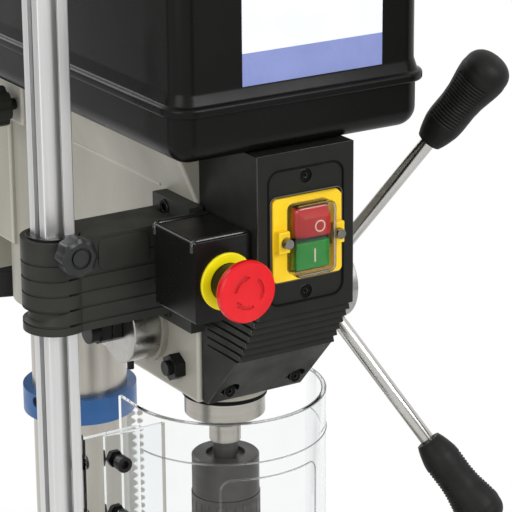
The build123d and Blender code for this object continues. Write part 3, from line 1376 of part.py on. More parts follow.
def make_estop():
    """Emergency stop: box on the panel's side, ring, contact block, stem and mushroom head."""
    x1 = -panel_half_w
    casing = slab_y(estop_x0, x1, estop_z0, estop_z1, estop_front_y, estop_back_y, estop_corner_r)
    casing -= slab_y(estop_x0 + estop_wall, x1 - estop_wall, estop_z0 + estop_wall, estop_z1 - estop_wall,
                     estop_front_y + estop_wall, estop_back_y - estop_wall, estop_corner_r)
    neck_hole = estop_stem_r + run_fit
    casing -= rod_y(estop_x, estop_z, neck_hole + soft_edge, estop_front_y - overrun,
                    estop_front_y + 2 * estop_wall)
    put("estop_box", casing)
    ring_y = estop_front_y - estop_ring_t
    ring = rod_y(estop_x, estop_z, estop_ring_r, ring_y, estop_front_y)
    ring -= rod_y(estop_x, estop_z, estop_neck_r + slide_fit, ring_y - overrun, estop_front_y + overrun)
    put("estop_ring", ring)
    head_front = estop_front_y - estop_reach
    head_back = head_front + estop_head_t
    collar_front = head_back + estop_press + soft_edge
    collar = rod_y(estop_x, estop_z, estop_neck_r, collar_front, estop_front_y)
    collar -= rod_y(estop_x, estop_z, neck_hole, collar_front - overrun, estop_front_y + overrun)
    half = estop_block_half
    block_y0 = estop_front_y + estop_wall
    block = box(estop_x - half, estop_x + half, block_y0, estop_back_y - estop_wall - overrun,
                estop_z - half, estop_z + half)
    block += rod_y(estop_x, estop_z, neck_hole + soft_edge - run_fit, estop_front_y, block_y0)
    stem_end = block_y0 + 2 * estop_stem_r
    block -= rod_y(estop_x, estop_z, neck_hole, estop_front_y - overrun, stem_end + estop_press + air)
    put("estop_box", collar, block)
    head = rod_y(estop_x, estop_z, estop_head_r, head_front, head_back)
    head = fillet(head.faces().sort_by(Axis.Y)[0].edges(), 2 * soft_edge)
    head -= rod_y(estop_x, estop_z, estop_stem_r + run_fit, head_front + estop_head_t / 2,
                  head_back + overrun)
    put("estop_button", head)
    put("estop_stem", rod_y(estop_x, estop_z, estop_stem_r, head_front + estop_head_t / 2 + air, stem_end))


def make_guard():
    """Guard: bracket with socket, turning bush, slotted profile, knob, clear plate and shield."""
    arm = box(guard_x, foot_x, arm_front_y, arm_back_y, socket_z0, socket_z1)
    arm += rod_z(guard_x, guard_y, socket_r, socket_z0, socket_z1)
    arm += box(foot_x, -head_half_w, foot_y0, foot_y1, foot_z0, foot_z1)
    arm = fillet(arm.edges().filter_by(Axis.X).sort_by(Axis.Z)[-1:], soft_edge)
    arm -= rod_x(feed_y, feed_z, can_ring_r + air, foot_x - overrun, -head_half_w)
    arm -= rod_z(guard_x, guard_y, bush_r + run_fit, socket_z0 - overrun, socket_z1 + overrun)
    pitch = (socket_z1 - socket_z0) / (arm_groove_count + 1)
    for n in range(arm_groove_count):
        z = socket_z0 + pitch * (n + 0.5)
        ring = rod_z(guard_x, guard_y, socket_r + overrun, z, z + arm_groove_w)
        ring -= rod_z(guard_x, guard_y, socket_r - arm_groove, z - overrun, z + overrun)
        ring -= box(guard_x, foot_x, arm_front_y - overrun, guard_y + 2 * socket_r, z - overrun, z + overrun)
        arm -= ring
        arm -= box(guard_x, foot_x, arm_front_y - overrun, arm_front_y + arm_groove, z, z + arm_groove_w)
    stud_y1 = guard_y - bush_r - air
    arm -= rod_y(guard_x, guard_knob_z, guard_stud_r + run_fit, arm_front_y - 2 * overrun, guard_y)
    screws = []
    for z in foot_screw_zs:
        seat_x = foot_x + screw_head_h
        arm -= rod_x(foot_screw_y, z, guard_screw_head_r + air, foot_x - overrun, seat_x)
        arm -= rod_x(foot_screw_y, z, guard_screw_r + run_fit, foot_x, overrun - head_half_w)
        screw = rod_x(foot_screw_y, z, guard_screw_head_r, foot_x - soft_edge, seat_x)
        screw += rod_x(foot_screw_y, z, guard_screw_r, seat_x, -quill_r - 2 * overrun)
        screws.append(screw - hex_along("x", foot_screw_y, z, guard_screw_head_r, foot_x - overrun,
                                        seat_x - soft_edge))
    put("guard_bracket", arm)
    put("case_screws", *screws)

    bush = rod_z(guard_x, guard_y, bush_r, socket_z0 - bush_lip_z, socket_z1 + bush_lip_z)
    half = profile_half + slide_fit
    bush -= box(guard_x - half, guard_x + half, guard_y - half, guard_y + half,
                socket_z0 - overrun, socket_z1 + overrun)
    put("guard_bush", bush)

    profile = slab(guard_x - profile_half, guard_x + profile_half, guard_y - profile_half,
                   guard_y + profile_half, profile_z0, profile_z1, soft_edge)
    profile -= rod_z(guard_x, guard_y, profile_core_r, profile_z0 - overrun, profile_z1 + overrun)
    deep = profile_half - profile_slot_depth
    for n in range(4):
        turn = Pos(guard_x, guard_y, 0) * Rot(0, 0, 90 * n)
        profile -= turn * box(deep, profile_half + overrun, -profile_slot_w / 2, profile_slot_w / 2,
                              profile_z0 - overrun, profile_z1 + overrun)
        profile -= turn * box(deep, profile_half - profile_slot_depth / 3, -profile_slot_w, profile_slot_w,
                              profile_z0 - overrun, profile_z1 + overrun)
    put("guard_profile", profile)

    knob = lobed_knob(guard_knob_r, guard_knob_t, knob_lobes)
    knob_y = guard_y - socket_r - 2 * soft_edge
    knob += Pos(0, 0, -(stud_y1 - knob_y) / 2) * Cylinder(guard_stud_r, stud_y1 - knob_y)
    put("guard_knob", Pos(guard_x, knob_y, guard_knob_z) * Rot(90, 0, 0) * knob)

    face_x = guard_x + profile_half
    flange_y = guard_y - profile_half - air
    plate = box(face_x, guard_screw_x + 4 * overrun, flange_y, flange_y + plate_clear_t,
                plate_clear_z0, plate_clear_z1)
    plate += box(face_x, face_x + plate_clear_t, flange_y, guard_y + profile_half,
                 plate_clear_z0, plate_clear_z1)
    shield = rod_z(0, spindle_y, shield_r, shield_z0, shield_z1)
    shield -= rod_z(0, spindle_y, shield_r - shield_t, shield_z0 - overrun, shield_z1 + overrun)
    shield -= box(-2 * shield_r, 2 * shield_r, spindle_y, spindle_y + 2 * shield_r,
                  shield_z0 - overrun, shield_z1 + overrun)
    shield += box(-shield_r, shield_t - shield_r, spindle_y, shield_leg_y, shield_z0, shield_z1)
    join_x = -math.sqrt(shield_r ** 2 - (flange_y - spindle_y) ** 2) + shield_t / 2
    shield += box(shield_flange_x, join_x, flange_y - shield_t, flange_y, plate_clear_z0, plate_clear_z1)
    screws = []
    for z in guard_screw_zs:
        y1 = flange_y + plate_clear_t
        shield -= rod_y(guard_screw_x, z, guard_screw_r + run_fit, flange_y - 2 * overrun,
                        flange_y + overrun)
        plate -= rod_y(guard_screw_x, z, guard_screw_r + run_fit, flange_y - overrun, y1 + overrun)
        screw = rod_y(guard_screw_x, z, guard_screw_r, flange_y - shield_t, y1 + overrun)
        screw += rod_y(guard_screw_x, z, guard_screw_head_r, flange_y - shield_t - 2 * screw_head_h,
                       flange_y - shield_t)
        screw += hex_along("y", guard_screw_x, z, 2 * guard_screw_head_r, y1, y1 + overrun)
        head_y = flange_y - shield_t - 2 * screw_head_h
        screw -= hex_along("y", guard_screw_x, z, guard_screw_head_r, head_y - overrun, head_y + screw_head_h)
        screws.append(screw)
        hole = rod_x(guard_y, z, guard_screw_r + run_fit, face_x - overrun, face_x + 2 * overrun)
        plate -= hole
        side = rod_x(guard_y, z, guard_screw_r - run_fit, face_x - profile_slot_depth + air,
                     face_x + plate_clear_t)
        side += rod_x(guard_y, z, guard_screw_head_r, face_x + plate_clear_t,
                      face_x + plate_clear_t + screw_head_h)
        screws.append(side)
    put("guard_plate", plate)
    put("guard_shield", shield)
    put("guard_screws", *screws)


make_base()
make_column()
make_table()
make_bracket()
make_head()
make_quill()
make_chuck()
make_feed()
make_cover()
make_drive()
make_motor()
make_panel()
make_switch()
make_estop()
make_guard()

for name, solids in parts.items():
    shape = solids[0] if len(solids) == 1 else Compound(solids)
    export_step(shape, "parts/" + name + ".step")
print(len(parts), "sub-parts written")
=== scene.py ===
import json
import logging
import math
from collections.abc import Iterable
from dataclasses import dataclass, replace
from enum import Enum

import bmesh
import bpy
import numpy as np
from bpy.types import ID, Material, Mesh, Modifier, Node, NodeSocket, Object
from mathutils import Matrix, Vector

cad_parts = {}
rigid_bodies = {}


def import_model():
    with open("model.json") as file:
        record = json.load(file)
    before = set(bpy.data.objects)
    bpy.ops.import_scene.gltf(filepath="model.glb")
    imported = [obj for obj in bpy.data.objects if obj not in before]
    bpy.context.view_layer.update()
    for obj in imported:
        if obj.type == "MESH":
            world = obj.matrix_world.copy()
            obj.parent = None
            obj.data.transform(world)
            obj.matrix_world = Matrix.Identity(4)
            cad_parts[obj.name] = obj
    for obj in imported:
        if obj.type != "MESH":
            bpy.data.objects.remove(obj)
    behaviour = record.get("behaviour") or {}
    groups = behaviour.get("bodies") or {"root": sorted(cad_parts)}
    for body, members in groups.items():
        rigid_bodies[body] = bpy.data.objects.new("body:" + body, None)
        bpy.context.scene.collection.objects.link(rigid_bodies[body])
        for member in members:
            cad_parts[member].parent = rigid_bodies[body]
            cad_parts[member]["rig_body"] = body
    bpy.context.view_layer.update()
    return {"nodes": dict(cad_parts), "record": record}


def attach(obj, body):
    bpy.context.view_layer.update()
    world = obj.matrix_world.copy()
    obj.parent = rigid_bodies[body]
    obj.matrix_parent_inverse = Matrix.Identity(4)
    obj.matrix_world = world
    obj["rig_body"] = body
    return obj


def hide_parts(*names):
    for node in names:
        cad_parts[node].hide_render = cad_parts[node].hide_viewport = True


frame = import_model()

MM = 0.001
MERGE_DIST = 1e-6
LOG = logging.getLogger("bench_drill")
X_AXIS, Y_AXIS, Z_AXIS = np.eye(3)
UPRIGHT = (X_AXIS, Y_AXIS, Z_AXIS)
FACING = (X_AXIS, Z_AXIS, -Y_AXIS)
TINY = 1e-6
LEAST_PERIMETER = 1e-9
ALONG_X = 0.9
CORNER_SHARE = 0.499
LEAST_CORNER = 0.4
BLOCK_FACE_IN = 0.2
FINE_DETAIL, FINE_ROUGH, LEAST_ROUGH = 4.0, 0.6, 0.02
FAR = 400.0
WHITE = (1, 1, 1, 1)


# Surfaces

@dataclass
class Shell:
    """Closed surface in millimetres, gathered before it becomes a mesh.

    points is an (n, 3) array, faces a list of point numbers for each face, dress one finish number per face.
    """

    points: np.ndarray
    faces: list
    dress: list

    def __add__(self, other: "Shell") -> "Shell":
        """Puts another shell beside this one in the same mesh."""
        shift = len(self.points)
        moved = [[n + shift for n in face] for face in other.faces]
        points = np.concatenate([self.points, other.points])
        return Shell(points, self.faces + moved, self.dress + other.dress)


def together(shells: Iterable) -> Shell:
    """Puts shells side by side in one mesh."""
    first, *rest = shells
    return sum(rest, first)


def rings_shell(rings: np.ndarray, dress: int = 0, looped: bool = False) -> Shell:
    """Joins rings of points into one closed surface.

    Point j of ring i meets points j+1 of ring i and j of ring i+1; the last point of a ring meets its first.

    Args:
        rings: array (rings, points in a ring, 3) in millimetres.
        dress: finish number of its faces.
        looped: the last ring joins the first; otherwise each end is closed with one face.

    Returns:
        The shell.
    """
    count, size = rings.shape[:2]
    i = np.arange(count if looped else count - 1)[:, None]
    j = np.arange(size)[None, :]
    after, above = (j + 1) % size, (i + 1) % count
    quads = np.stack([i * size + j, i * size + after, above * size + after, above * size + j], -1)
    faces = quads.reshape(-1, 4).tolist()
    if not looped:
        faces += [list(range(size))[::-1], list(range((count - 1) * size, count * size))]
    return Shell(rings.reshape(-1, 3), faces, [dress] * len(faces))


def round_corners(points: list, radii: list, steps: int = 5, closed: bool = False) -> np.ndarray:
    """Rounds the corners of a flat outline with true arcs.

    Each corner P with tangent points A and C becomes the rational curve
    ((1-t)^2 A + 2t(1-t) w P + t^2 C) / ((1-t)^2 + 2t(1-t) w + t^2), w the sine of half the inner angle.

    Args:
        points: the corners as pairs of numbers.
        radii: the rounding of each corner; the two ends of an open outline aren't rounded.
        steps: points along each arc.
        closed: the outline returns to its first corner.

    Returns:
        Array (corners * steps, 2).
    """
    p = np.asarray(points, float)
    r = np.asarray(radii, float).copy()
    if not closed:
        r[[0, -1]] = 0
    back, ahead = np.roll(p, 1, 0) - p, np.roll(p, -1, 0) - p
    back_l = np.linalg.norm(back, axis=1, keepdims=True)
    ahead_l = np.linalg.norm(ahead, axis=1, keepdims=True)
    back, ahead = back / back_l, ahead / ahead_l
    half = np.arccos(np.clip((back * ahead).sum(1), -1, 1))[:, None] / 2
    cut = r[:, None] / np.maximum(np.tan(half), TINY)
    cut = np.minimum(cut, CORNER_SHARE * np.minimum(back_l, ahead_l))
    a, c, w = (p + back * cut)[:, None], (p + ahead * cut)[:, None], np.sin(half)[:, None]
    t = np.linspace(0, 1, steps)[None, :, None]
    arc = (1 - t) ** 2 * a + 2 * t * (1 - t) * w * p[:, None] + t ** 2 * c
    return (arc / ((1 - t) ** 2 + 2 * t * (1 - t) * w + t ** 2)).reshape(-1, 2)


def rectangle(corners: tuple, radius: float, steps: int = 8, inset: float = 0.0) -> np.ndarray:
    """Outline of a rectangle (u0, u1, v0, v1) with round corners, drawn in by an inset."""
    u0, u1, v0, v1 = np.array(corners, float) + np.array([1, -1, 1, -1]) * inset
    return round_corners([(u0, v0), (u1, v0), (u1, v1), (u0, v1)], [radius] * 4, steps, True)


def full_turn(count: int) -> np.ndarray:
    """Angles evenly round a full turn, the first at zero."""
    return np.linspace(0, 2 * math.pi, count, endpoint=False)


def front_spokes(angles: np.ndarray) -> np.ndarray:
    """Unit directions at the angles, in the plane that faces the front."""
    return np.stack([np.cos(angles), np.zeros_like(angles), np.sin(angles)], -1)


def standing(flat: np.ndarray, y: float) -> np.ndarray:
    """Flat outline (x, z) stood up at a depth y."""
    return np.stack([flat[:, 0], np.full(len(flat), y), flat[:, 1]], -1)


def turned(profile: np.ndarray, centre: tuple, axis: np.ndarray, looped: bool = False, around: int = 64,
           dress: int = 0) -> Shell:
    """Body of revolution: point = centre + along * axis + radius * (cos a * first + sin a * second).

    Args:
        profile: array of (radius, along) pairs in millimetres.
        centre: point on the axis where along is zero.
        axis: unit direction of the axis.
        looped: the profile is a closed outline clear of the axis.
        around: points in each ring.
        dress: finish number.

    Returns:
        The shell.
    """
    first = np.cross(axis, X_AXIS if abs(axis[0]) < ALONG_X else Y_AXIS)
    first /= np.linalg.norm(first)
    second = np.cross(axis, first)
    a = full_turn(around)[:, None]
    spokes = np.cos(a) * first + np.sin(a) * second
    profile = np.asarray(profile, float)
    rings = np.asarray(centre, float) + profile[:, None, 1:] * axis + profile[:, None, :1] * spokes[None]
    return rings_shell(rings, dress, looped)


def layered(corners: tuple, radius: float, rows: np.ndarray, origin: tuple, axes: tuple, steps: int = 8,
            looped: bool = False) -> Shell:
    """Rectangle with round corners carried through rows of (inset, along).

    Each row is the rectangle drawn in by its inset, its corner radius made smaller by the same inset,
    placed at origin + u * first + v * second + along * third.

    Args:
        corners: (u0, u1, v0, v1) of the rectangle.
        radius: corner radius at inset zero.
        rows: array of (inset, along).
        origin: where u, v and along are zero.
        axes: the three unit directions.
        steps: points along each corner.
        looped: the last row joins the first; otherwise each of the two is closed with a face.

    Returns:
        The shell.
    """
    flat = np.stack([rectangle(corners, max(radius - d, LEAST_CORNER), steps, d) for d in rows[:, 0]])
    rings = np.asarray(origin, float) + flat[..., :1] * axes[0] + flat[..., 1:] * axes[1]
    return rings_shell(rings + rows[:, None, 1:] * axes[2], 0, looped)


def block(x0: float, x1: float, y0: float, y1: float, z0: float, z1: float, edge: float = 0.5) -> Shell:
    """Block between two corners with round edges, its long rounding along Z."""
    face_in = edge + BLOCK_FACE_IN
    rows = round_corners([(face_in, z0), (0, z0), (0, z1), (face_in, z1)], [0, edge, edge, 0], 4)
    return layered((x0, x1, y0, y1), edge, rows, (0, 0, 0), UPRIGHT, 4)


def bead(path: np.ndarray, across: np.ndarray, radius: float, closed: bool = False, sides: int = 10) -> Shell:
    """Round bead along a path: point = path + radius * (cos a * across + sin a * (tangent x across)).

    Args:
        path: array (n, 3) in millimetres.
        across: unit direction off the path, one for all points or one for each.
        radius: half the bead's thickness.
        closed: the path returns to its first point.
        sides: points round the bead.

    Returns:
        The shell.
    """
    ahead = np.roll(path, -1, 0) - np.roll(path, 1, 0) if closed else np.gradient(path, axis=0)
    ahead /= np.linalg.norm(ahead, axis=1, keepdims=True)
    across = np.broadcast_to(across, path.shape)
    across = across - (across * ahead).sum(1, keepdims=True) * ahead
    across = across / np.linalg.norm(across, axis=1, keepdims=True)
    side = np.cross(ahead, across)
    a = full_turn(sides)[None, :, None]
    rings = path[:, None] + radius * (np.cos(a) * across[:, None] + np.sin(a) * side[:, None])
    return rings_shell(rings, 0, closed)


def resampled(path: np.ndarray, step: float) -> np.ndarray:
    """Path with points one step apart along its length, in a straight line between its own points."""
    path = np.asarray(path, float)
    run = np.concatenate([[0], np.cumsum(np.linalg.norm(np.diff(path, axis=0), axis=1))])
    at = np.linspace(0, run[-1], max(int(run[-1] / step), 2))
    return np.stack([np.interp(at, run, path[:, k]) for k in range(path.shape[1])], -1)


def closed_run(flat: np.ndarray, step: float) -> np.ndarray:
    """Closed outline with points one step apart, its end not repeated."""
    return resampled(np.concatenate([flat, flat[:1]]), step)[:-1]


def smooth_step(value: np.ndarray) -> np.ndarray:
    """Zero below 0, one above 1, 3t^2 - 2t^3 between."""
    t = np.clip(value, 0, 1)
    return t * t * (3 - 2 * t)


# Finishes

class Nodes:
    """Node tree of one material or world, with short calls to place and join its nodes."""

    def __init__(self, owner: ID) -> None:
        """Starts from the nodes that a new material or world has."""
        owner.use_nodes = True
        self.owner = owner
        self.tree = owner.node_tree
        self.shader = self.tree.nodes.get("Principled BSDF")

    def put(self, kind: str, inputs: dict, **props: object) -> Node:
        """Adds a node.

        Args:
            kind: node type without its ShaderNode prefix.
            inputs: value or output for each input, by name or number.
            props: properties set on the node.

        Returns:
            The node.
        """
        node = self.tree.nodes.new("ShaderNode" + kind)
        for key, value in props.items():
            setattr(node, key, value)
        for key, value in inputs.items():
            self.join(value, node.inputs[key])
        return node

    def join(self, value: object, socket: NodeSocket) -> None:
        """Links an output to a socket, or sets the socket to a plain value."""
        if isinstance(value, NodeSocket):
            self.tree.links.new(value, socket)
        else:
            socket.default_value = value

    def noise(self, stretch: tuple, scale: float, detail: float = 3.0, rough: float = 0.55) -> NodeSocket:
        """Noise on Object coordinates, squeezed or stretched along each axis."""
        place = self.put("TexCoord", {}).outputs["Object"]
        place = self.put("Mapping", {"Vector": place, "Scale": stretch}).outputs[0]
        node = self.put("TexNoise", {"Vector": place, "Scale": scale, "Detail": detail, "Roughness": rough})
        return node.outputs["Fac"]

    def spread(self, value: NodeSocket, low: float, high: float, start: float = 0.3,
               end: float = 0.7) -> NodeSocket:
        """Maps a noise value between start and end onto low to high."""
        node = self.put("MapRange", {0: value, 1: start, 2: end, 3: low, 4: high})
        return node.outputs[0]

    def blend(self, factor: NodeSocket, first: object, second: object) -> NodeSocket:
        """Mixes two colours by a factor."""
        node = self.put("Mix", {0: factor, 6: first, 7: second}, data_type="RGBA")
        return node.outputs[2]

    def above(self, axis: str, level: float) -> NodeSocket:
        """One where the Object coordinate on an axis is past a level in metres, else zero."""
        place = self.put("TexCoord", {}).outputs["Object"]
        part = self.put("SeparateXYZ", {0: place}).outputs[axis]
        return self.put("Math", {0: part, 1: level}, operation="GREATER_THAN").outputs[0]

    def seen(self) -> NodeSocket:
        """One for rays from the camera, off mirrors and through glass, else zero."""
        ray = self.put("LightPath", {}).outputs
        seen = ray["Is Camera Ray"]
        for name in ("Is Glossy Ray", "Is Transmission Ray"):
            seen = self.put("Math", {0: seen, 1: ray[name]}, operation="MAXIMUM").outputs[0]
        return seen


def linear(colour: tuple) -> tuple:
    """Screen colour from 0 to 255 as the linear colour that a shader takes."""
    value = np.asarray(colour, float) / 255
    value = np.where(value <= 0.04045, value / 12.92, ((value + 0.055) / 1.055) ** 2.4)
    return (*value.tolist(), 1.0)


@dataclass(frozen=True)
class Finish:
    """Surface finish: two colours in blotches, roughness that varies, fine grain in relief."""

    name: str
    colour: tuple
    second: tuple
    roughness: float = 0.45
    rough_spread: float = 0.06
    metallic: float = 0.0
    specular: float = 0.35
    blotch: float = 45.0
    fleck: float = 0.35
    grain: float = 1500.0
    grain_depth: float = 0.00004
    grain_strength: float = 0.35
    stretch: tuple = (1.0, 1.0, 1.0)

    def like(self, name: str, colour: tuple, second: tuple, **changes: object) -> "Finish":
        """This finish under another name, in other colours."""
        return replace(self, name=name, colour=colour, second=second, **changes)

    def build(self) -> Material:
        """Makes the material of this finish."""
        nodes = Nodes(bpy.data.materials.new(self.name))
        broad = nodes.noise(self.stretch, self.blotch)
        fine = nodes.noise(self.stretch, self.grain, FINE_DETAIL, FINE_ROUGH)
        parts = {0: nodes.spread(broad, 0, 1 - self.fleck), 1: nodes.spread(fine, 0, self.fleck)}
        flecks = nodes.put("Math", parts, operation="ADD").outputs[0]
        low, high = max(self.roughness - self.rough_spread, LEAST_ROUGH), self.roughness + self.rough_spread
        relief = {"Height": fine, "Distance": self.grain_depth, "Strength": self.grain_strength}
        bump = nodes.put("Bump", relief)
        for name, value in (("Base Color", nodes.blend(flecks, linear(self.colour), linear(self.second))),
                            ("Roughness", nodes.spread(broad, low, high)), ("Normal", bump.outputs[0]),
                            ("Metallic", self.metallic), ("Specular IOR Level", self.specular)):
            nodes.join(value, nodes.shader.inputs[name])
        self.extra(nodes)
        return nodes.owner

    def extra(self, nodes: Nodes) -> None:
        """Place for what a special finish adds to its nodes."""


@dataclass(frozen=True)
class ClearPlastic(Finish):
    """Clear moulded plastic with faint flow marks."""

    index: float = 1.49

    def extra(self, nodes: Nodes) -> None:
        """Lets light through."""
        nodes.shader.inputs["Transmission Weight"].default_value = 1.0
        nodes.shader.inputs["IOR"].default_value = self.index


@dataclass(frozen=True)
class TwoTone(Finish):
    """Printed sheet: one colour above a line, another below it."""

    lower: tuple = (134, 145, 198)
    line_z: float = 940.6
    shade: float = 0.94

    def extra(self, nodes: Nodes) -> None:
        """Adds the lower field."""
        socket = nodes.shader.inputs["Base Color"]
        upper = socket.links[0].from_socket
        soft = nodes.noise(self.stretch, self.blotch)
        dark = tuple(int(part * self.shade) for part in self.lower)
        lower = nodes.blend(nodes.spread(soft, 0, 1), linear(self.lower), linear(dark))
        nodes.join(nodes.blend(nodes.above("Z", self.line_z * MM), lower, upper), socket)


CASTING = Finish("casting_paint", (168, 165, 153), (157, 154, 142), 0.4, 0.05, specular=0.4, blotch=30,
                 grain=900, grain_depth=0.00006, stretch=(1, 1, 0.35))
# Lighter copy of the casting paint: painted highlight on the casting's broken edges and on its crease bead.
CASTING_HIGHLIGHT = CASTING.like("casting_highlight", (190, 187, 176), (178, 175, 164), roughness=0.34)
BASE_PAINT = CASTING.like("base_paint", (128, 128, 120), (116, 116, 108), roughness=0.48, grain=500,
                          grain_depth=0.00016, grain_strength=0.5, stretch=(1, 1, 1))
GROUND_TOP = Finish("ground_iron", (168, 167, 163), (140, 139, 135), 0.34, 0.08, 0.9, blotch=25, grain=160,
                    fleck=0.6, grain_depth=0.00003, stretch=(1, 14, 1))
TURNED_STEEL = Finish("turned_steel", (186, 182, 174), (168, 163, 155), 0.3, 0.05, 1.0, blotch=9, fleck=0.5,
                      grain=60, grain_depth=0.00001, grain_strength=0.3, stretch=(1, 1, 24))
COLUMN_STEEL = TURNED_STEEL.like("column_steel", (190, 186, 178), (172, 167, 158), roughness=0.33, blotch=60,
                                 grain=260, stretch=(1, 1, 0.06))
MACHINED_STEEL = TURNED_STEEL.like("machined_steel", (170, 167, 160), (138, 134, 127), roughness=0.34,
                                   blotch=60, grain=700, stretch=(1, 1, 1))
ALUMINIUM = Finish("drawn_aluminium", (226, 226, 225), (208, 208, 208), 0.42, 0.06, 0.9, blotch=40,
                   fleck=0.6, grain=420, grain_depth=0.00001, grain_strength=0.3, stretch=(1, 1, 0.012))
CHROME = Finish("chrome_plate", (200, 199, 195), (182, 181, 177), 0.2, 0.04, 1.0, blotch=35, grain=900,
                grain_depth=0.00001, grain_strength=0.2)
HUB_ALLOY = ALUMINIUM.like("hub_alloy", (176, 176, 173), (156, 156, 153), roughness=0.4, blotch=60,
                           stretch=(1, 1, 1))
RACK_STEEL = MACHINED_STEEL.like("rack_steel", (188, 186, 181), (164, 162, 157), roughness=0.5,
                                 metallic=0.25)
POLISHED = CHROME.like("polished_steel", (186, 185, 180), (160, 159, 154), roughness=0.26, rough_spread=0.06)
SCREW_STEEL = CHROME.like("screw_steel", (150, 148, 142), (112, 110, 104), roughness=0.22)
BLACK_OXIDE = Finish("black_oxide", (20, 20, 19), (13, 13, 12), 0.38, 0.08, specular=0.25, blotch=120,
                     grain=1300)
# Near black used as painted shade: in holes, recesses, the groove round the switch plate, under the casting
# and on sunk screw heads.
PAINTED_SHADE = BLACK_OXIDE.like("painted_shade", (8, 8, 8), (5, 5, 5), roughness=0.6, specular=0.1)
CHUCK_STEEL = Finish("chuck_steel", (84, 82, 80), (64, 62, 60), 0.36, 0.06, 0.8, blotch=60, grain=500,
                     grain_depth=0.00003, stretch=(1, 1, 6))
COVER_PLASTIC = Finish("cover_plastic", (14, 14, 13), (10, 10, 9), 0.28, 0.05, specular=0.13, blotch=22,
                       fleck=0.2, grain=750, grain_depth=0.00003, grain_strength=0.25)
MATTE_PLASTIC = Finish("matte_plastic", (50, 51, 46), (41, 42, 38), 0.46, specular=0.18, blotch=60,
                       grain=1700, grain_depth=0.00005)
SATIN_PLASTIC = MATTE_PLASTIC.like("satin_plastic", (20, 20, 19), (14, 14, 13), roughness=0.3, specular=0.22)
PANEL_PLASTIC = MATTE_PLASTIC.like("panel_plastic", (34, 34, 31), (27, 27, 24), roughness=0.42, grain=2000,
                                   specular=0.16)
KNOB_PLASTIC = MATTE_PLASTIC.like("knob_plastic", (40, 41, 41), (32, 33, 33), roughness=0.33, specular=0.3)
# Lighter, glossier dark plastic: painted highlight on the edges of the panel and screws and on the e-stop box
# lips.
GLOSS_HIGHLIGHT = SATIN_PLASTIC.like("gloss_highlight", (34, 34, 33), (26, 26, 25), roughness=0.2, specular=0.6)
# Light grey bead colour: painted highlight on the rim round the switch frame.
RIM_HIGHLIGHT = SATIN_PLASTIC.like("rim_highlight", (96, 92, 84), (70, 67, 60))
GRIP_RUBBER = Finish("grip_rubber", (24, 24, 23), (15, 15, 14), 0.55, 0.07, specular=0.2, blotch=90,
                     fleck=0.5, grain=1100, grain_depth=0.00016, grain_strength=0.5)
BELT_RUBBER = replace(GRIP_RUBBER, name="belt_rubber", colour=(34, 33, 31), grain=500)
YELLOW_PLASTIC = Finish("yellow_plastic", (244, 206, 36), (234, 192, 22), 0.36, 0.05, blotch=70, fleck=0.25)
RING_YELLOW = YELLOW_PLASTIC.like("ring_yellow", (246, 232, 16), (238, 220, 10))
RED_PLASTIC = Finish("red_plastic", (222, 18, 30), (206, 12, 24), 0.32, 0.05, blotch=60, fleck=0.2,
                     grain_depth=0.00002)
RED_SUNK_SHADE = RED_PLASTIC.like("red_sunk_shade", (196, 12, 22), (180, 9, 18))
RED_KEY = RED_PLASTIC.like("red_key", (196, 22, 30), (178, 16, 24), roughness=0.36)
GREEN_KEY = RED_PLASTIC.like("green_key", (10, 156, 58), (6, 140, 48), roughness=0.36)
WHITE_MARK = RED_PLASTIC.like("white_mark", (246, 246, 242), (236, 236, 232))
COLLAR_PAINT = Finish("collar_paint", (46, 98, 156), (38, 86, 142), 0.34, blotch=50, fleck=0.3, grain=1000)
MOTOR_PAINT = Finish("motor_paint", (26, 26, 26), (18, 18, 18), 0.42, 0.07, specular=0.3, blotch=40,
                     grain=600, grain_depth=0.00012, grain_strength=0.5)
PULLEY_ALLOY = TURNED_STEEL.like("pulley_alloy", (190, 190, 188), (165, 165, 163))
CLEAR_SHEET = ClearPlastic("clear_sheet", (250, 251, 251), (245, 247, 247), 0.03, 0.015, specular=0.5,
                           blotch=14, grain=60, grain_strength=0.2, index=1.16)
# Light grey, less clear plastic for the shield's lines: painted reflection for the grey lines its moulded
# edges show.
CLEAR_EDGE_SHEEN = ClearPlastic("clear_edge_sheen", (206, 208, 206), (190, 192, 190), 0.3, 0.05, specular=0.5,
                            blotch=30, grain=300, grain_depth=0.00002, index=1.25)
SMOKY_BOOT = ClearPlastic("smoky_boot", (212, 206, 194), (198, 192, 180), 0.07, 0.03, specular=0.5,
                          blotch=60, grain=200, grain_strength=0.25, index=1.4)
LABEL_PRINT = TwoTone("label_print", (236, 238, 244), (226, 229, 238), 0.28, 0.04, specular=0.3, blotch=30,
                      fleck=0.2, grain_depth=0.00001)


# Making pieces

def linked(name: str, data: ID) -> Object:
    """New object in the scene that holds the data."""
    obj = bpy.data.objects.new(name, data)
    bpy.context.scene.collection.objects.link(obj)
    return obj


def coordinates(mesh: Mesh) -> np.ndarray:
    """Places of a mesh's vertices in metres, as an (n, 3) array."""
    points = np.empty(len(mesh.vertices) * 3)
    mesh.vertices.foreach_get("co", points)
    return points.reshape(-1, 3)


class Edge(Enum):
    """How far the edges of a copied CAD node are broken, in millimetres."""

    NONE = 0.0
    FINE = 0.3
    MOULDED = 0.7
    SOFT = 1.2
    CAST = 2.0


@dataclass
class Region:
    """Finish for the faces whose middle lies in a box given in millimetres."""

    low: tuple
    high: tuple
    finish: Finish


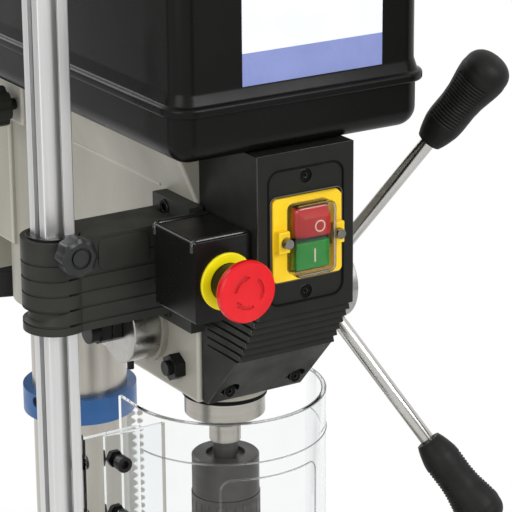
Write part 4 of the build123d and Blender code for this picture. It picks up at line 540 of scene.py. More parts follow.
class Workshop:
    """Makes materials once each, turns shells into pieces and copies CAD nodes with broken edges."""

    sharp_angle = math.radians(32)
    flat_angle = math.radians(1.2)
    on_plane = 0.05
    bevel_steps = 2

    def __init__(self) -> None:
        """Reads the nodes and their material slots from the frame."""
        self.nodes = frame["nodes"]
        self.slots = {row["node"]: row["material_slot"] for row in frame["record"]["subparts"]}
        self.made: dict = {}

    def material(self, finish: Finish) -> Material:
        """The material of a finish, made at its first use."""
        if finish.name not in self.made:
            self.made[finish.name] = finish.build()
        return self.made[finish.name]

    def settle(self, obj: Object, node: str, stands_for: bool = True) -> Object:
        """Joins a piece to the body of a CAD node.

        Args:
            obj: the piece.
            node: the CAD node it belongs to.
            stands_for: the node is no longer shown.

        Returns:
            The piece.
        """
        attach(obj, self.nodes[node]["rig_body"])
        if stands_for:
            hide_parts(node)
        LOG.info("%s: %d faces", obj.name, len(obj.data.polygons))
        return obj

    def piece(self, name: str, node: str, shell: Shell, finishes: list, stands_for: bool = True,
              edge: float = 0.0) -> Object:
        """Makes an object from a shell: doubles merged, normals outwards, smooth but for its sharp edges.

        Args:
            name: name of the piece.
            node: CAD node whose body it takes.
            shell: its surface in millimetres.
            finishes: finishes by dress number.
            stands_for: the CAD node is no longer shown.
            edge: width of a bevel on its sharp edges, in millimetres.

        Returns:
            The object.
        """
        mesh = bpy.data.meshes.new(name)
        mesh.from_pydata((shell.points * MM).tolist(), [], shell.faces)
        mesh.polygons.foreach_set("material_index", shell.dress)
        work = bmesh.new()
        work.from_mesh(mesh)
        bmesh.ops.remove_doubles(work, verts=work.verts, dist=MERGE_DIST)
        bmesh.ops.dissolve_degenerate(work, edges=work.edges, dist=MERGE_DIST)
        bmesh.ops.recalc_face_normals(work, faces=work.faces)
        work.to_mesh(mesh)
        work.free()
        mesh.polygons.foreach_set("use_smooth", [True] * len(mesh.polygons))
        mesh.set_sharp_from_angle(angle=self.sharp_angle)
        obj = self.shown(name, mesh, finishes)
        if edge:
            self.bevelled(obj, edge, "ANGLE")
        return self.settle(obj, node, stands_for)

    def shown(self, name: str, mesh: Mesh, finishes: list) -> Object:
        """Puts a mesh with its finishes into the scene."""
        for finish in finishes:
            mesh.materials.append(self.material(finish))
        return linked(name, mesh)

    def bevelled(self, obj: Object, width: float, method: str) -> Modifier:
        """Adds a bevel of a width in millimetres."""
        bevel = obj.modifiers.new("edge", "BEVEL")
        bevel.width, bevel.segments, bevel.limit_method = width * MM, self.bevel_steps, method
        bevel.harden_normals = True
        return bevel

    def dressed(self, node: str, finish: Finish) -> Object:
        """Gives a CAD node that stays as it is its finish."""
        obj = self.nodes[node]
        for slot in obj.material_slots:
            slot.material = self.material(finish)
        if not obj.material_slots:
            obj.data.materials.append(self.material(finish))
        LOG.info("%s: CAD node kept", node)
        return obj

    def thinned(self, obj: Object, axis: int, level: float, to: float) -> None:
        """Moves the points of a copy that lie on a plane across an axis to another level, in millimetres."""
        points = coordinates(obj.data)
        on = np.abs(points[:, axis] - level * MM) < self.on_plane * MM
        points[on, axis] = to * MM
        obj.data.vertices.foreach_set("co", points.ravel())

    def softened(self, node: str, finish: Finish, edge: Edge = Edge.FINE, highlight_edges: Finish = None,
                 regions: tuple = (), cut: tuple = None) -> Object:
        """Copies a CAD node with its triangles merged and its outer edges broken.

        Args:
            node: the CAD node, which the copy stands for.
            finish: finish of its faces.
            edge: width of the broken edges.
            highlight_edges: finish of the broken edges where it differs; its lighter colour paints a
                highlight along them.
            regions: other finishes for the faces in certain boxes.
            cut: (point, direction) of a plane in millimetres; what lies past it is cut off and closed.

        Returns:
            The copy.
        """
        source = self.nodes[node].data
        corners = np.empty(len(source.loops), int)
        source.loops.foreach_get("vertex_index", corners)
        name = node + "_body"
        mesh = bpy.data.meshes.new(name)
        mesh.from_pydata(coordinates(source), [], corners.reshape(-1, 3))
        work = bmesh.new()
        work.from_mesh(mesh)
        bmesh.ops.remove_doubles(work, verts=work.verts, dist=MERGE_DIST)
        bmesh.ops.dissolve_limit(work, angle_limit=self.flat_angle, verts=work.verts, edges=work.edges)
        if cut:
            whole = list(work.verts) + list(work.edges) + list(work.faces)
            bmesh.ops.bisect_plane(work, geom=whole, dist=MERGE_DIST, plane_co=Vector(cut[0]) * MM,
                                   plane_no=Vector(cut[1]), clear_outer=True)
            bmesh.ops.holes_fill(work, edges=[e for e in work.edges if e.is_boundary], sides=0)
        work.normal_update()
        self.break_edges(work, edge.value * MM)
        slots = [finish] + [region.finish for region in regions] + ([highlight_edges] if highlight_edges else [])
        self.dress_regions(work, regions)
        work.to_mesh(mesh)
        work.free()
        obj = self.shown(name, mesh, slots)
        if edge is not Edge.NONE:
            bevel = self.bevelled(obj, edge.value, "WEIGHT")
            bevel.use_clamp_overlap = False
            # the bevel faces take the edge finish, whose lighter colour is a painted highlight
            bevel.material = len(slots) - 1 if highlight_edges else -1
        return self.settle(obj, node)

    def soften_all(self, *rows: tuple) -> None:
        """Softens one CAD node for each row of arguments."""
        for row in rows:
            self.softened(*row)

    def break_edges(self, work: bmesh.types.BMesh, width: float) -> None:
        """Marks the outer edges that have room for a bevel and keeps the other steep edges sharp."""
        weight = work.edges.layers.float.new("bevel_weight_edge")
        room = {}
        for face in work.faces:
            face.smooth = True
            room[face.index] = 2 * face.calc_area() / max(face.calc_perimeter(), LEAST_PERIMETER)
        for line in work.edges:
            if len(line.link_faces) != 2 or line.calc_face_angle(0) < self.sharp_angle:
                continue
            wide = min(room[face.index] for face in line.link_faces) > width
            if width and line.is_convex and wide and line.calc_length() > 2 * width:
                line[weight] = 1.0
            else:
                line.smooth = False

    def dress_regions(self, work: bmesh.types.BMesh, regions: tuple) -> None:
        """Gives the faces in each region's box the number of its finish."""
        if not regions:
            return
        middles = np.array([face.calc_center_median() for face in work.faces]) / MM
        number = np.zeros(len(middles), int)
        for n, region in enumerate(regions):
            inside = np.all((middles > region.low) & (middles < region.high), axis=1)
            number[inside] = n + 1
        for face, value in zip(work.faces, number.tolist()):
            face.material_index = value


# Sub-assemblies

@dataclass
class SubAssembly:
    """Sub-assembly that makes its pieces in a workshop."""

    shop: Workshop


@dataclass
class Stand(SubAssembly):
    """Base, flange, column, rack and the blue collar, with the table and its bracket."""

    table_top_z: float = 355.0
    top_band: tuple = (1.5, 5.0)

    def build(self) -> None:
        """Copies the nodes of the stand and dresses them."""
        below, over = self.top_band
        top = Region((-FAR, -FAR, self.table_top_z - below), (FAR, FAR, self.table_top_z + over), GROUND_TOP)
        self.shop.soften_all(
            ("base", BASE_PAINT, Edge.CAST),
            ("column_flange", BASE_PAINT, Edge.CAST),
            ("flange_bolts", BLACK_OXIDE),
            ("column", COLUMN_STEEL),
            ("rack", RACK_STEEL, Edge.NONE),
            ("rack_collar", COLLAR_PAINT, Edge.SOFT),
            ("table", CASTING, Edge.SOFT, None, (top,)),
            ("table_bracket", CASTING, Edge.SOFT, CASTING_HIGHLIGHT),
            ("tilt_bolt", BLACK_OXIDE),
            ("lift_pinion", MACHINED_STEEL, Edge.NONE),
            ("lift_crank", BLACK_OXIDE),
            ("crank_grip", GRIP_RUBBER, Edge.MOULDED),
            ("clamp_lever", BLACK_OXIDE))


@dataclass
class Head(SubAssembly):
    """Head casting with quill, spindle, chuck and their small parts."""

    side_x: float = -38.5
    crease_ys: tuple = (66.0, -53.0)
    crease_z: float = 831.0
    crease_r: float = 1.3
    crease_sunk: float = 0.55
    crease_points: int = 60
    crease_sides: int = 16
    plug: tuple = (157.6, 805.0)
    plug_r: float = 3.4
    plug_rim: tuple = (0.9, 1.1)
    plug_rim_t: float = 0.25
    plug_floor: float = 0.05
    plug_depth: float = 1.0
    plug_rounds: tuple = (0, 0.1, 0.2, 0.2, 0.1, 0)
    plug_around: int = 32
    nose_shade_box: tuple = ((-34, -101, 680), (34, -32, 687.4))
    jaws: int = 3

    def crease(self) -> Shell:
        """Low bead along the casting's side, most of it sunk in the wall; its lighter finish paints the
        highlight along the crease.
        """
        y = np.linspace(*self.crease_ys, self.crease_points)
        x = np.full_like(y, self.side_x + self.crease_sunk)
        path = np.stack([x, y, np.full_like(y, self.crease_z)], -1)
        return bead(path, -X_AXIS, self.crease_r, sides=self.crease_sides)

    def side_plug(self) -> Shell:
        """Small closed disc in the casting's side with a thin raised rim, near black as the painted shade of
        a hole.
        """
        r, top, floor, back = self.plug_r, self.plug_rim_t, self.plug_floor, -self.plug_depth
        outer, inner = (r - width for width in self.plug_rim)
        rows = round_corners([(0, back), (r, back), (r, top), (outer, top), (inner, floor), (0, floor)],
                             self.plug_rounds, 4)
        return turned(rows, (self.side_x, *self.plug), -X_AXIS, around=self.plug_around)

    def build(self) -> None:
        """Copies the nodes of the head and dresses them."""
        shop = self.shop
        # The casting's lowest faces round the quill are near black: painted shade under the casting.
        ring = Region(*self.nose_shade_box, PAINTED_SHADE)
        shop.softened("head_casting", CASTING, Edge.CAST, CASTING_HIGHLIGHT, regions=(ring,))
        shop.piece("casting_crease", "head_casting", self.crease(), [CASTING_HIGHLIGHT], False)
        shop.piece("casting_plug", "head_casting", self.side_plug(), [PAINTED_SHADE], False)
        shop.soften_all(
            ("set_screws", BLACK_OXIDE),
            ("quill", TURNED_STEEL),
            ("spindle", TURNED_STEEL),
            ("chuck_body", CHUCK_STEEL, Edge.SOFT),
            ("chuck_sleeve", CHUCK_STEEL, Edge.SOFT),
            *((f"chuck_jaw_{n + 1}", MACHINED_STEEL) for n in range(self.jaws)),
            ("slide_lock_knob", MATTE_PLASTIC, Edge.MOULDED))


@dataclass
class FeedSet(SubAssembly):
    """Feed shaft, chromed hub and arms, ribbed grips, depth ring, spring can and spring."""

    arms: int = 3
    hub: tuple = (92.0, -31.38, 731.3)
    cone: float = math.radians(23.8)
    phase: float = 61.0
    start: float = 136.0
    length: float = 74.0
    bore_r: float = 5.05
    bore_l: float = 15.0
    shares: tuple = ((0.0, 8.6), (0.03, 9.8), (0.09, 11.24), (0.18, 12.92), (0.26, 13.4), (0.43, 13.2),
                     (0.54, 13.82), (0.63, 15.05), (0.71, 16.15), (0.79, 16.75), (0.84, 16.2))
    smoothing: int = 9
    rib_from: float = 18.0
    rib_to: float = 55.0
    ribs: int = 16
    rib_depth: float = 0.8
    rib_place: float = math.radians(118)
    rib_sector: float = 0.66
    rib_fade: float = 0.08
    end_bow: float = 0.75
    end_rows: int = 24
    arm_r: float = 5.1
    arm_run: tuple = (27.0, 135.8)
    arm_edge: float = 0.2
    arm_around: int = 72
    rows: int = 170
    around: int = 96
    hub_box: tuple = ((60, -64, 698), (128, 2, 764))
    pin_box: tuple = ((-60, -40, 690), (-40, -20, 706.1))

    def lean(self, index: int) -> np.ndarray:
        """Unit direction of an arm, away from the hub."""
        angle = math.radians(self.phase - 360 / self.arms * index)
        return np.array([math.sin(self.cone), -math.cos(self.cone) * math.cos(angle),
                         math.cos(self.cone) * math.sin(angle)])

    def arm(self, index: int) -> Shell:
        """Plated outside of one arm from the hub to its grip."""
        (start, end), r, edge = self.arm_run, self.arm_r, self.arm_edge
        rows = round_corners([(0, start), (r, start), (r, end), (0, end)], [0, edge, edge, 0], 4)
        return turned(rows, self.hub, self.lean(index), around=self.arm_around)

    def grip(self, index: int) -> Shell:
        """One grip on its arm.

        Radius follows the turned profile; between rib_from and rib_to it dips by
        rib_depth * (1 - cos(2 pi * ribs * share)) / 2 inside two opposite sectors.

        Args:
            index: number of the arm.

        Returns:
            The grip as a closed shell with its blind bore.
        """
        lean = self.lean(index)
        side = np.cross(lean, X_AXIS)
        side /= np.linalg.norm(side)
        up = np.cross(lean, side)
        share, radius = np.array(self.shares).T
        dome = share[-1] * self.length
        along = np.linspace(0, dome, self.rows)
        curve = np.pad(np.interp(along, share * self.length, radius), self.smoothing // 2, mode="edge")
        curve = np.convolve(curve, np.ones(self.smoothing) / self.smoothing, "valid")
        turn = np.linspace(0, math.pi / 2, self.end_rows)[1:]
        along = np.concatenate([along, dome + (self.length - dome) * np.sin(turn)])
        curve = np.concatenate([curve, curve[-1] * np.cos(turn) ** self.end_bow])
        a = full_turn(self.around)
        run = (along - self.rib_from) / (self.rib_to - self.rib_from)
        wave = (1 - np.cos(2 * math.pi * self.ribs * run)) / 2 * ((run > 0) & (run < 1))
        sector = smooth_step((np.abs(np.cos(a - self.rib_place)) - self.rib_sector) / self.rib_fade)
        r = curve[:, None] - self.rib_depth * wave[:, None] * sector[None]
        spokes = np.cos(a)[:, None] * side + np.sin(a)[:, None] * up
        start = np.array(self.hub) + lean * self.start
        outer = start + along[:, None, None] * lean + r[..., None] * spokes[None]
        bore = np.array([(0, self.bore_l), (self.bore_r, self.bore_l), (self.bore_r, 0)])
        inner = start + bore[:, None, 1:] * lean + bore[:, None, :1] * spokes[None]
        return rings_shell(np.concatenate([inner, outer]))

    def build(self) -> None:
        """Builds the grips and copies the other nodes."""
        shop, every = self.shop, range(self.arms)
        shop.piece("ribbed_grips", "feed_grips", together(self.grip(n) for n in every), [GRIP_RUBBER])
        shop.softened("feed_hub", CHROME, Edge.MOULDED, regions=(Region(*self.hub_box, HUB_ALLOY),))
        shop.piece("plated_arms", "feed_hub", together(self.arm(n) for n in every), [CHROME], False)
        shop.soften_all(
            ("feed_shaft", BLACK_OXIDE),
            ("depth_ring", ALUMINIUM, Edge.MOULDED),
            ("spring_can", POLISHED, Edge.MOULDED, None, (Region(*self.pin_box, BLACK_OXIDE),)),
            ("return_spring", MACHINED_STEEL, Edge.NONE))


@dataclass
class BeltCover(SubAssembly):
    """Moulded tray and hinged lid over the belts, with the label plate, which carries no text."""

    half_w: float = 89.0
    front_y: float = -165.0
    back_y: float = 374.0
    corner_r: float = 14.0
    lip_z: float = 906.6
    top_z: float = 990.0
    wall: float = 3.0
    wall_in: float = 1.0
    middle_in: float = 80.0
    groove_ins: tuple = (38.0, 36.0, 30.0, 28.0)
    groove_depth: float = 1.2
    cove_top: float = 13.5
    cove_foot: tuple = (-1.4, 6.4)
    lip_out: float = 4.5
    lip_t: float = 5.4
    skirt_in: float = -0.3
    skirt_top: float = 7.7
    rounds: tuple = (0, 1, 0.8, 0.8, 1, 12, 7, 1.6, 2.4, 1.5, 0.3, 0.3, 0.5, 9, 0)
    knuckle_ys: tuple = (-30.0, 230.0)
    knuckle_l: float = 40.0
    knuckle_r: float = 4.6
    knuckle_edge: float = 0.3
    web_xs: tuple = (1.5, 0.3)
    web_zs: tuple = (0.3, 4.4)
    bore_r: float = 2.55
    label: tuple = (-43.7, 57.4, 920.3, 975.8)
    label_y: float = -164.0
    label_t: float = 0.6
    label_in: float = 4.0
    label_corner: float = 0.5
    label_rounds: tuple = (0, 0.1, 0.2, 0)

    def lid_shell(self) -> Shell:
        """Lid: one profile of (inset, height) carried round the plan outline.

        The profile runs from the middle of the top over a shallow groove and the round top edge, down the
        wall, through a hollow cove to the bead of the lip, under the skirt and back up inside.
        """
        lip, top, out, skirt = self.lip_z, self.top_z, -self.lip_out, self.skirt_in
        inner, floor, ceiling = self.wall + self.wall_in, top - self.groove_depth, top - self.wall
        first, second, third, fourth = self.groove_ins
        rows = round_corners([
            (self.middle_in, top), (first, top), (second, floor), (third, floor), (fourth, top),
            (self.wall_in, top), (self.wall_in, lip + self.cove_top),
            (self.cove_foot[0], lip + self.cove_foot[1]), (out, lip + self.lip_t), (out, lip), (skirt, lip),
            (skirt, lip + self.skirt_top), (inner, lip + self.skirt_top), (inner, ceiling),
            (self.middle_in, ceiling)], self.rounds, 7)
        plan = (-self.half_w, self.half_w, self.front_y, self.back_y)
        return layered(plan, self.corner_r, rows, (0, 0, 0), UPRIGHT, 14)

    def knuckle(self, y: float) -> Shell:
        """One hinge knuckle on the lid's right side, with the web that joins it to the lip."""
        x, half, edge = self.half_w + self.lip_out + self.knuckle_r, self.knuckle_l / 2, self.knuckle_edge
        corners = (self.bore_r, self.knuckle_r, -half, half)
        web = block(x - self.knuckle_r - self.web_xs[0], x - self.bore_r - self.web_xs[1], y - half, y + half,
                    self.lip_z + self.web_zs[0], self.lip_z + self.web_zs[1], edge)
        ring = turned(rectangle(corners, edge, 3), (x, y, self.lip_z), Y_AXIS, looped=True, around=32)
        return ring + web

    def label_shell(self) -> Shell:
        """Thin plate with round corners on the lid's front wall."""
        depth, t = self.label_in, self.label_t
        rows = round_corners([(depth, 0), (0, 0), (0, t), (depth, t)], self.label_rounds, 4)
        return layered(self.label, self.label_corner, rows, (0, self.label_y, 0), FACING, 6)

    def build(self) -> None:
        """Builds lid and label and copies tray and latch."""
        lid = together([self.lid_shell(), together(self.knuckle(y) for y in self.knuckle_ys)])
        self.shop.piece("cover_lid", "belt_lid", lid, [COVER_PLASTIC])
        self.shop.piece("label_sheet", "label_plate", self.label_shell(), [LABEL_PRINT])
        self.shop.soften_all(
            ("belt_tray", COVER_PLASTIC, Edge.MOULDED),
            ("lid_latch", MATTE_PLASTIC, Edge.MOULDED))


@dataclass
class Drive(SubAssembly):
    """Motor, pulleys, belts and the lever that tightens the belts."""

    ball_zs: tuple = (795.0, 870.0)

    def build(self) -> None:
        """Copies the nodes of the drive and dresses them."""
        low, high = self.ball_zs
        ball = Region((-FAR, -FAR, low), (FAR, FAR, high), MATTE_PLASTIC)
        self.shop.soften_all(
            ("motor_body", MOTOR_PAINT, Edge.MOULDED),
            ("motor_plate", CASTING, Edge.SOFT),
            ("terminal_box", SATIN_PLASTIC, Edge.MOULDED),
            ("motor_rotor", PULLEY_ALLOY),
            ("spindle_pulley", PULLEY_ALLOY, Edge.NONE),
            ("idler_pulley", PULLEY_ALLOY, Edge.NONE),
            ("idler_arm", MACHINED_STEEL),
            ("tension_lever", BLACK_OXIDE, Edge.FINE, None, (ball,)),
            ("motor_belt", BELT_RUBBER, Edge.NONE),
            ("spindle_belt", BELT_RUBBER, Edge.NONE))


@dataclass
class SwitchPanel(SubAssembly):
    """Front panel with recessed plate, yellow switch with smoky boot, keys with their marks."""

    switch_z: float = 820.3
    frame_y: float = -168.75
    boot_half: tuple = (15.6, 23.3)
    boot_out: float = 10.5
    boot_wall: float = 1.2
    boot_face_in: tuple = (1.5, 1.7)
    boot_rounds: tuple = (0, 3.0, 0.3, 0.3, 1.9, 0)
    boot_corner: float = 5.0
    ear_x: float = 19.1
    ear_r: float = 3.6
    ear_run: tuple = (5.0, 6.2)
    ear_edge: float = 0.2
    hole_r: float = 2.0
    key_half: float = 12.0
    key_corner: float = 1.2
    stop_z: tuple = (821.3, 839.8)
    stop_face: tuple = (-7.0, 11.2, 822.4, 834.2)
    stop_y: float = -176.55
    stop_back_y: float = -168.25
    stop_steps: tuple = (4.6, 3.9, 0.35)
    stop_edge: float = 0.35
    shoulder_in: tuple = (0.5, -0.3, 0.2, -0.4)
    brow_out: tuple = (-0.4, 0.2, -0.2, 0.4)
    start_y: float = -174.95
    mark_t: float = 0.15
    mark_lap: float = 0.1
    ring_mark: tuple = (3.0, 3.75)
    ring_place: tuple = (3.6, 828.4)
    ring_lift: float = 0.02
    bar_mark: tuple = (0.3, 1.4)
    bar_mark_z: tuple = (805.2, 813.8)
    stem_half: float = 4.0
    stem_end_y: float = -160.0
    stem_lap: float = 0.5
    collar_half: tuple = (14.0, 21.8)
    collar_out: float = 1.2
    collar_w: float = 1.7
    collar_corner: float = 3.2
    collar_rounds: tuple = (0.1, 0.5, 0.3, 0.1)
    bar_z: tuple = (818.9, 821.0)
    bar_out: float = 3.4
    bar_sunk: float = 2.0
    bar_edge: float = 0.3
    panel_y: float = -166.4
    plate: tuple = (-27.5, 27.5, 777.5, 864.5)
    plate_corner: float = 8.0
    frame: tuple = (-25.2, 25.2, 793.5, 847.1)
    frame_cut: float = 3.4
    cut_slope: tuple = (0.7071, 0, 0.7071)
    rim_out: float = 0.9
    rim_corner: float = 4.0
    rim_rise: float = 0.4
    rim_r: float = 0.5
    groove_shade_r: float = 0.7
    outline_step: float = 1.2
    low_xs: tuple = (-25.0, 25.0)
    low_box: tuple = ((-8, -128, 696), (8, -112.6, 713))
    hole_zs: tuple = (783.5, 858.5)
    hole_box: tuple = ((-5, -168, -5), (5, -164.2, 5))
    screw_reach: float = 5.0
    screw_ys: tuple = (-182.0, -160.0)
    inside_box: tuple = ((-40, -166.3, 780), (40, -60, 860))

    def boot(self) -> Shell:
        """Boot: one profile of (inset, height off the frame) carried round a rectangle with round corners."""
        (w, h), out, wall = self.boot_half, self.boot_out, self.boot_wall
        front, back = (w - share for share in self.boot_face_in)
        profile = [(front, out), (0, out), (0, 0), (wall, 0), (wall, out - wall), (back, out - wall)]
        rows = round_corners(profile, self.boot_rounds, 6)
        made = layered((-w, w, -h, h), self.boot_corner, rows, (0, self.frame_y, self.switch_z), FACING)
        ring = rectangle((self.hole_r, self.ear_r, *self.ear_run), self.ear_edge, 3)
        centres = ((x, self.frame_y, self.switch_z) for x in (-self.ear_x, self.ear_x))
        return together([made, *(turned(ring, c, -Y_AXIS, looped=True, around=32) for c in centres)])

    def stop_key(self) -> Shell:
        """Red key: block whose front narrows to an off-centre flat face, with its guide behind."""
        body, face = np.array([-self.key_half, self.key_half, *self.stop_z]), np.array(self.stop_face)
        side, shoulder, brow = (self.stop_y + step for step in self.stop_steps)
        outlines = ((body, self.stop_back_y), (body, side), (body + self.shoulder_in, shoulder),
                    (face + self.brow_out, brow), (face, self.stop_y))
        rings = np.stack([standing(rectangle(corners, self.key_corner, 5), y) for corners, y in outlines])
        middle, half = sum(self.stop_z) / 2, self.stem_half
        stem = block(-half, half, self.stop_back_y - self.stem_lap, self.stem_end_y, middle - half,
                     middle + half)
        return rings_shell(rings) + stem

    def surround(self) -> Shell:
        """Dark collar round the keys behind the boot, and the bar between the keys."""
        (w, h), out, wide = self.collar_half, self.collar_out, self.collar_w
        rows = round_corners([(0, 0), (0, out), (wide, out), (wide, 0)], self.collar_rounds, 4, True)
        corners = (-w, w, self.switch_z - h, self.switch_z + h)
        ring = layered(corners, self.collar_corner, rows, (0, self.frame_y, 0), FACING, looped=True)
        bar = block(-self.key_half, self.key_half, self.frame_y - self.bar_out, self.frame_y + self.bar_sunk,
                    *self.bar_z, self.bar_edge)
        return ring + bar

    def outline(self, corners: tuple, radius: float, y: float, thick: float) -> Shell:
        """Bead round a rectangle with round corners, on the plane at y."""
        path = standing(closed_run(rectangle(corners, radius), self.outline_step), y)
        return bead(path, Y_AXIS, thick, closed=True)

    def panel(self) -> None:
        """Copies the front panel with near-black painted shade in its screw holes and low recesses and a
        painted highlight on its broken edges.
        """
        (x0, y0, z0), (x1, y1, z1) = self.low_box
        low = [Region((x + x0, y0, z0), (x + x1, y1, z1), PAINTED_SHADE) for x in self.low_xs]
        (x0, y0, z0), (x1, y1, z1) = self.hole_box
        holes = [Region((x0, y0, z + z0), (x1, y1, z + z1), PAINTED_SHADE) for z in self.hole_zs]
        self.shop.softened("front_panel", PANEL_PLASTIC, Edge.MOULDED, GLOSS_HIGHLIGHT, (*low, *holes))

    def build(self) -> None:
        """Builds boot, keys and marks and copies the other nodes."""
        shop = self.shop
        self.panel()
        side, reach, (near, far) = self.ear_x + self.screw_reach, self.screw_reach, self.screw_ys
        bright = Region((-side, near, self.switch_z - reach), (side, far, self.switch_z + reach), SCREW_STEEL)
        # Screw heads nearer black than black oxide: their own black deepened by painted shade from their
        # holes; their broken edges get the painted highlight finish.
        shop.softened("case_screws", PAINTED_SHADE, Edge.FINE, GLOSS_HIGHLIGHT, (bright,))
        x0, x1, z0, z1 = self.frame
        inside, cut = Region(*self.inside_box, MATTE_PLASTIC), ((x1 - self.frame_cut, 0, z1), self.cut_slope)
        shop.softened("switch_frame", YELLOW_PLASTIC, Edge.MOULDED, regions=(inside,), cut=cut)
        shop.piece("key_surround", "switch_frame", self.surround(), [SATIN_PLASTIC], False)
        # A near-black bead round the recessed plate paints the shadow in the plate's groove.
        groove = self.outline(self.plate, self.plate_corner, self.panel_y, self.groove_shade_r)
        shop.piece("plate_groove_shade", "front_panel", groove, [PAINTED_SHADE], False)
        # Bead round the switch frame in a light grey: painted highlight on the flange's rim.
        out, y = self.rim_out, self.panel_y - self.rim_rise
        rim = self.outline((x0 - out, x1 + out, z0 - out, z1 + out), self.rim_corner, y, self.rim_r)
        shop.piece("frame_rim", "switch_frame", rim, [RIM_HIGHLIGHT], False)
        shop.piece("switch_boot", "switch_cover", self.boot(), [SMOKY_BOOT]).visible_shadow = False
        shop.softened("start_button", GREEN_KEY, Edge.MOULDED)
        shop.piece("stop_key", "stop_button", self.stop_key(), [RED_KEY], edge=self.stop_edge)
        (inner, outer), t, (x, z) = self.ring_mark, self.mark_t, self.ring_place
        rows, centre = [(inner, 0), (outer, 0), (outer, t), (inner, t)], (x, self.stop_y + self.ring_lift, z)
        ring = turned(rows, centre, -Y_AXIS, looped=True, around=48)
        shop.piece("mark_off", "stop_button", ring, [WHITE_MARK], False)
        y, lap = self.start_y, self.mark_lap
        bar = block(*self.bar_mark, y - t, y + lap, *self.bar_mark_z, lap)
        shop.piece("mark_on", "start_button", bar, [WHITE_MARK], False)


@dataclass
class EmergencyStop(SubAssembly):
    """Box on the panel's side with yellow ring and red mushroom head."""

    centre: tuple = (-54.0, -160.0, 798.4)
    ring: tuple = (12.1, 18.4, 2.0)
    ring_rounds: tuple = (0.1, 0.2, 0.8, 0.3)
    head_back: float = 16.0
    head_t: float = 11.0
    head_side: tuple = ((14.4, 0.0), (17.6, 1.4), (19.7, 5.4), (19.7, 8.4))
    head_rounds: tuple = (0, 0, 0, 0.8, 2.5, 2.5, 1.0, 0)
    bore: tuple = (5.05, 5.6)
    dome: float = 0.9
    face_r: float = 18.7
    face_runs: tuple = ((18.7, 13.2, 8), (13.0, 6.6, 30), (6.2, 0.0, 8))
    arrows: int = 3
    arc_r: float = 9.7
    arc_half: float = 1.0
    arc_depth: float = 0.8
    arc_start: float = 168.0
    arc_turn: tuple = (60.0, 84.0)
    point_half: float = 1.9
    arc_fade: float = 0.35
    sunk_from: float = 0.4
    around: int = 180
    lip_ys: tuple = (-156.0, -110.6)
    lip_path: tuple = ((-75.2, 819.5), (-75.2, 825.9), (-36.6, 825.9), (-36.6, 823.5))
    lip_rounds: tuple = (0, 4, 2, 0)
    lip_r: float = 2.0
    lip_step: float = 1.0
    lip_sides: int = 14
    least_step: float = 1e-4

    def head(self) -> Shell:
        """Mushroom head with three arrows sunk in its face; the sunk faces get a darker red as painted shade.

        Along the face the height is head_t - dome * (r / face_r)^2, less arc_depth where |r - arc_r| is
        under the arrow's half width, which is even along the arc and runs to a point at its end.
        """
        bore_r, bore_l = self.bore
        side = [(0, bore_l), (bore_r, bore_l), (bore_r, 0), *self.head_side,
                (self.face_r, self.head_t - self.dome)]
        rows = round_corners(side, self.head_rounds, 6)
        a = full_turn(self.around)
        r = np.concatenate([np.linspace(*run) for run in self.face_runs])
        turn = (self.arc_start - np.degrees(a)) % (360 / self.arrows)
        neck, tip = self.arc_turn
        point = np.where(turn < neck, self.arc_half, self.point_half * (tip - turn) / (tip - neck))
        point = np.where(turn > tip, -1.0, point)
        sunk = smooth_step((point[None] - np.abs(r[:, None] - self.arc_r)) / self.arc_fade + 0.5)
        height = self.head_t - self.dome * (r[:, None] / self.face_r) ** 2 - self.arc_depth * sunk
        spokes = front_spokes(a)
        origin = np.array(self.centre) - Y_AXIS * self.head_back
        back = origin - rows[:, None, 1:] * Y_AXIS + rows[:, None, :1] * spokes
        face = origin - height[..., None] * Y_AXIS + r[:, None, None] * spokes
        shell = rings_shell(np.concatenate([back, face]))
        # faces deep in an arrow take the darker red: painted shade
        level = (sunk[1:] + sunk[:-1] + np.roll(sunk, -1, 1)[1:] + np.roll(sunk, -1, 1)[:-1]) / 4
        first = len(back) * self.around
        shell.dress[first:first + level.size] = (level > self.sunk_from).astype(int).ravel().tolist()
        return shell

    def lip(self, y: float) -> Shell:
        """Round bead over the box's top edge at a depth, its ends turned down the sides."""
        path = standing(round_corners(self.lip_path, self.lip_rounds, 8), y)
        path = path[np.concatenate([[True], np.linalg.norm(np.diff(path, axis=0), axis=1) > self.least_step])]
        return bead(resampled(path, self.lip_step), Y_AXIS, self.lip_r, sides=self.lip_sides)

    def build(self) -> None:
        """Builds head, ring and lips and copies box and stem."""
        shop, (inner, outer, t) = self.shop, self.ring
        shop.softened("estop_box", SATIN_PLASTIC, Edge.MOULDED)
        # The lips are painted lighter as a highlight along them.
        shop.piece("box_lips", "estop_box", together(self.lip(y) for y in self.lip_ys), [GLOSS_HIGHLIGHT], False)
        rows = round_corners([(inner, 0), (outer, 0), (outer, t), (inner, t)], self.ring_rounds, 5, True)
        ring = turned(rows, self.centre, -Y_AXIS, looped=True, around=96)
        shop.piece("yellow_ring", "estop_ring", ring, [RING_YELLOW])
        shop.piece("mushroom_head", "estop_button", self.head(), [RED_PLASTIC, RED_SUNK_SHADE])
        shop.softened("estop_stem", MACHINED_STEEL)


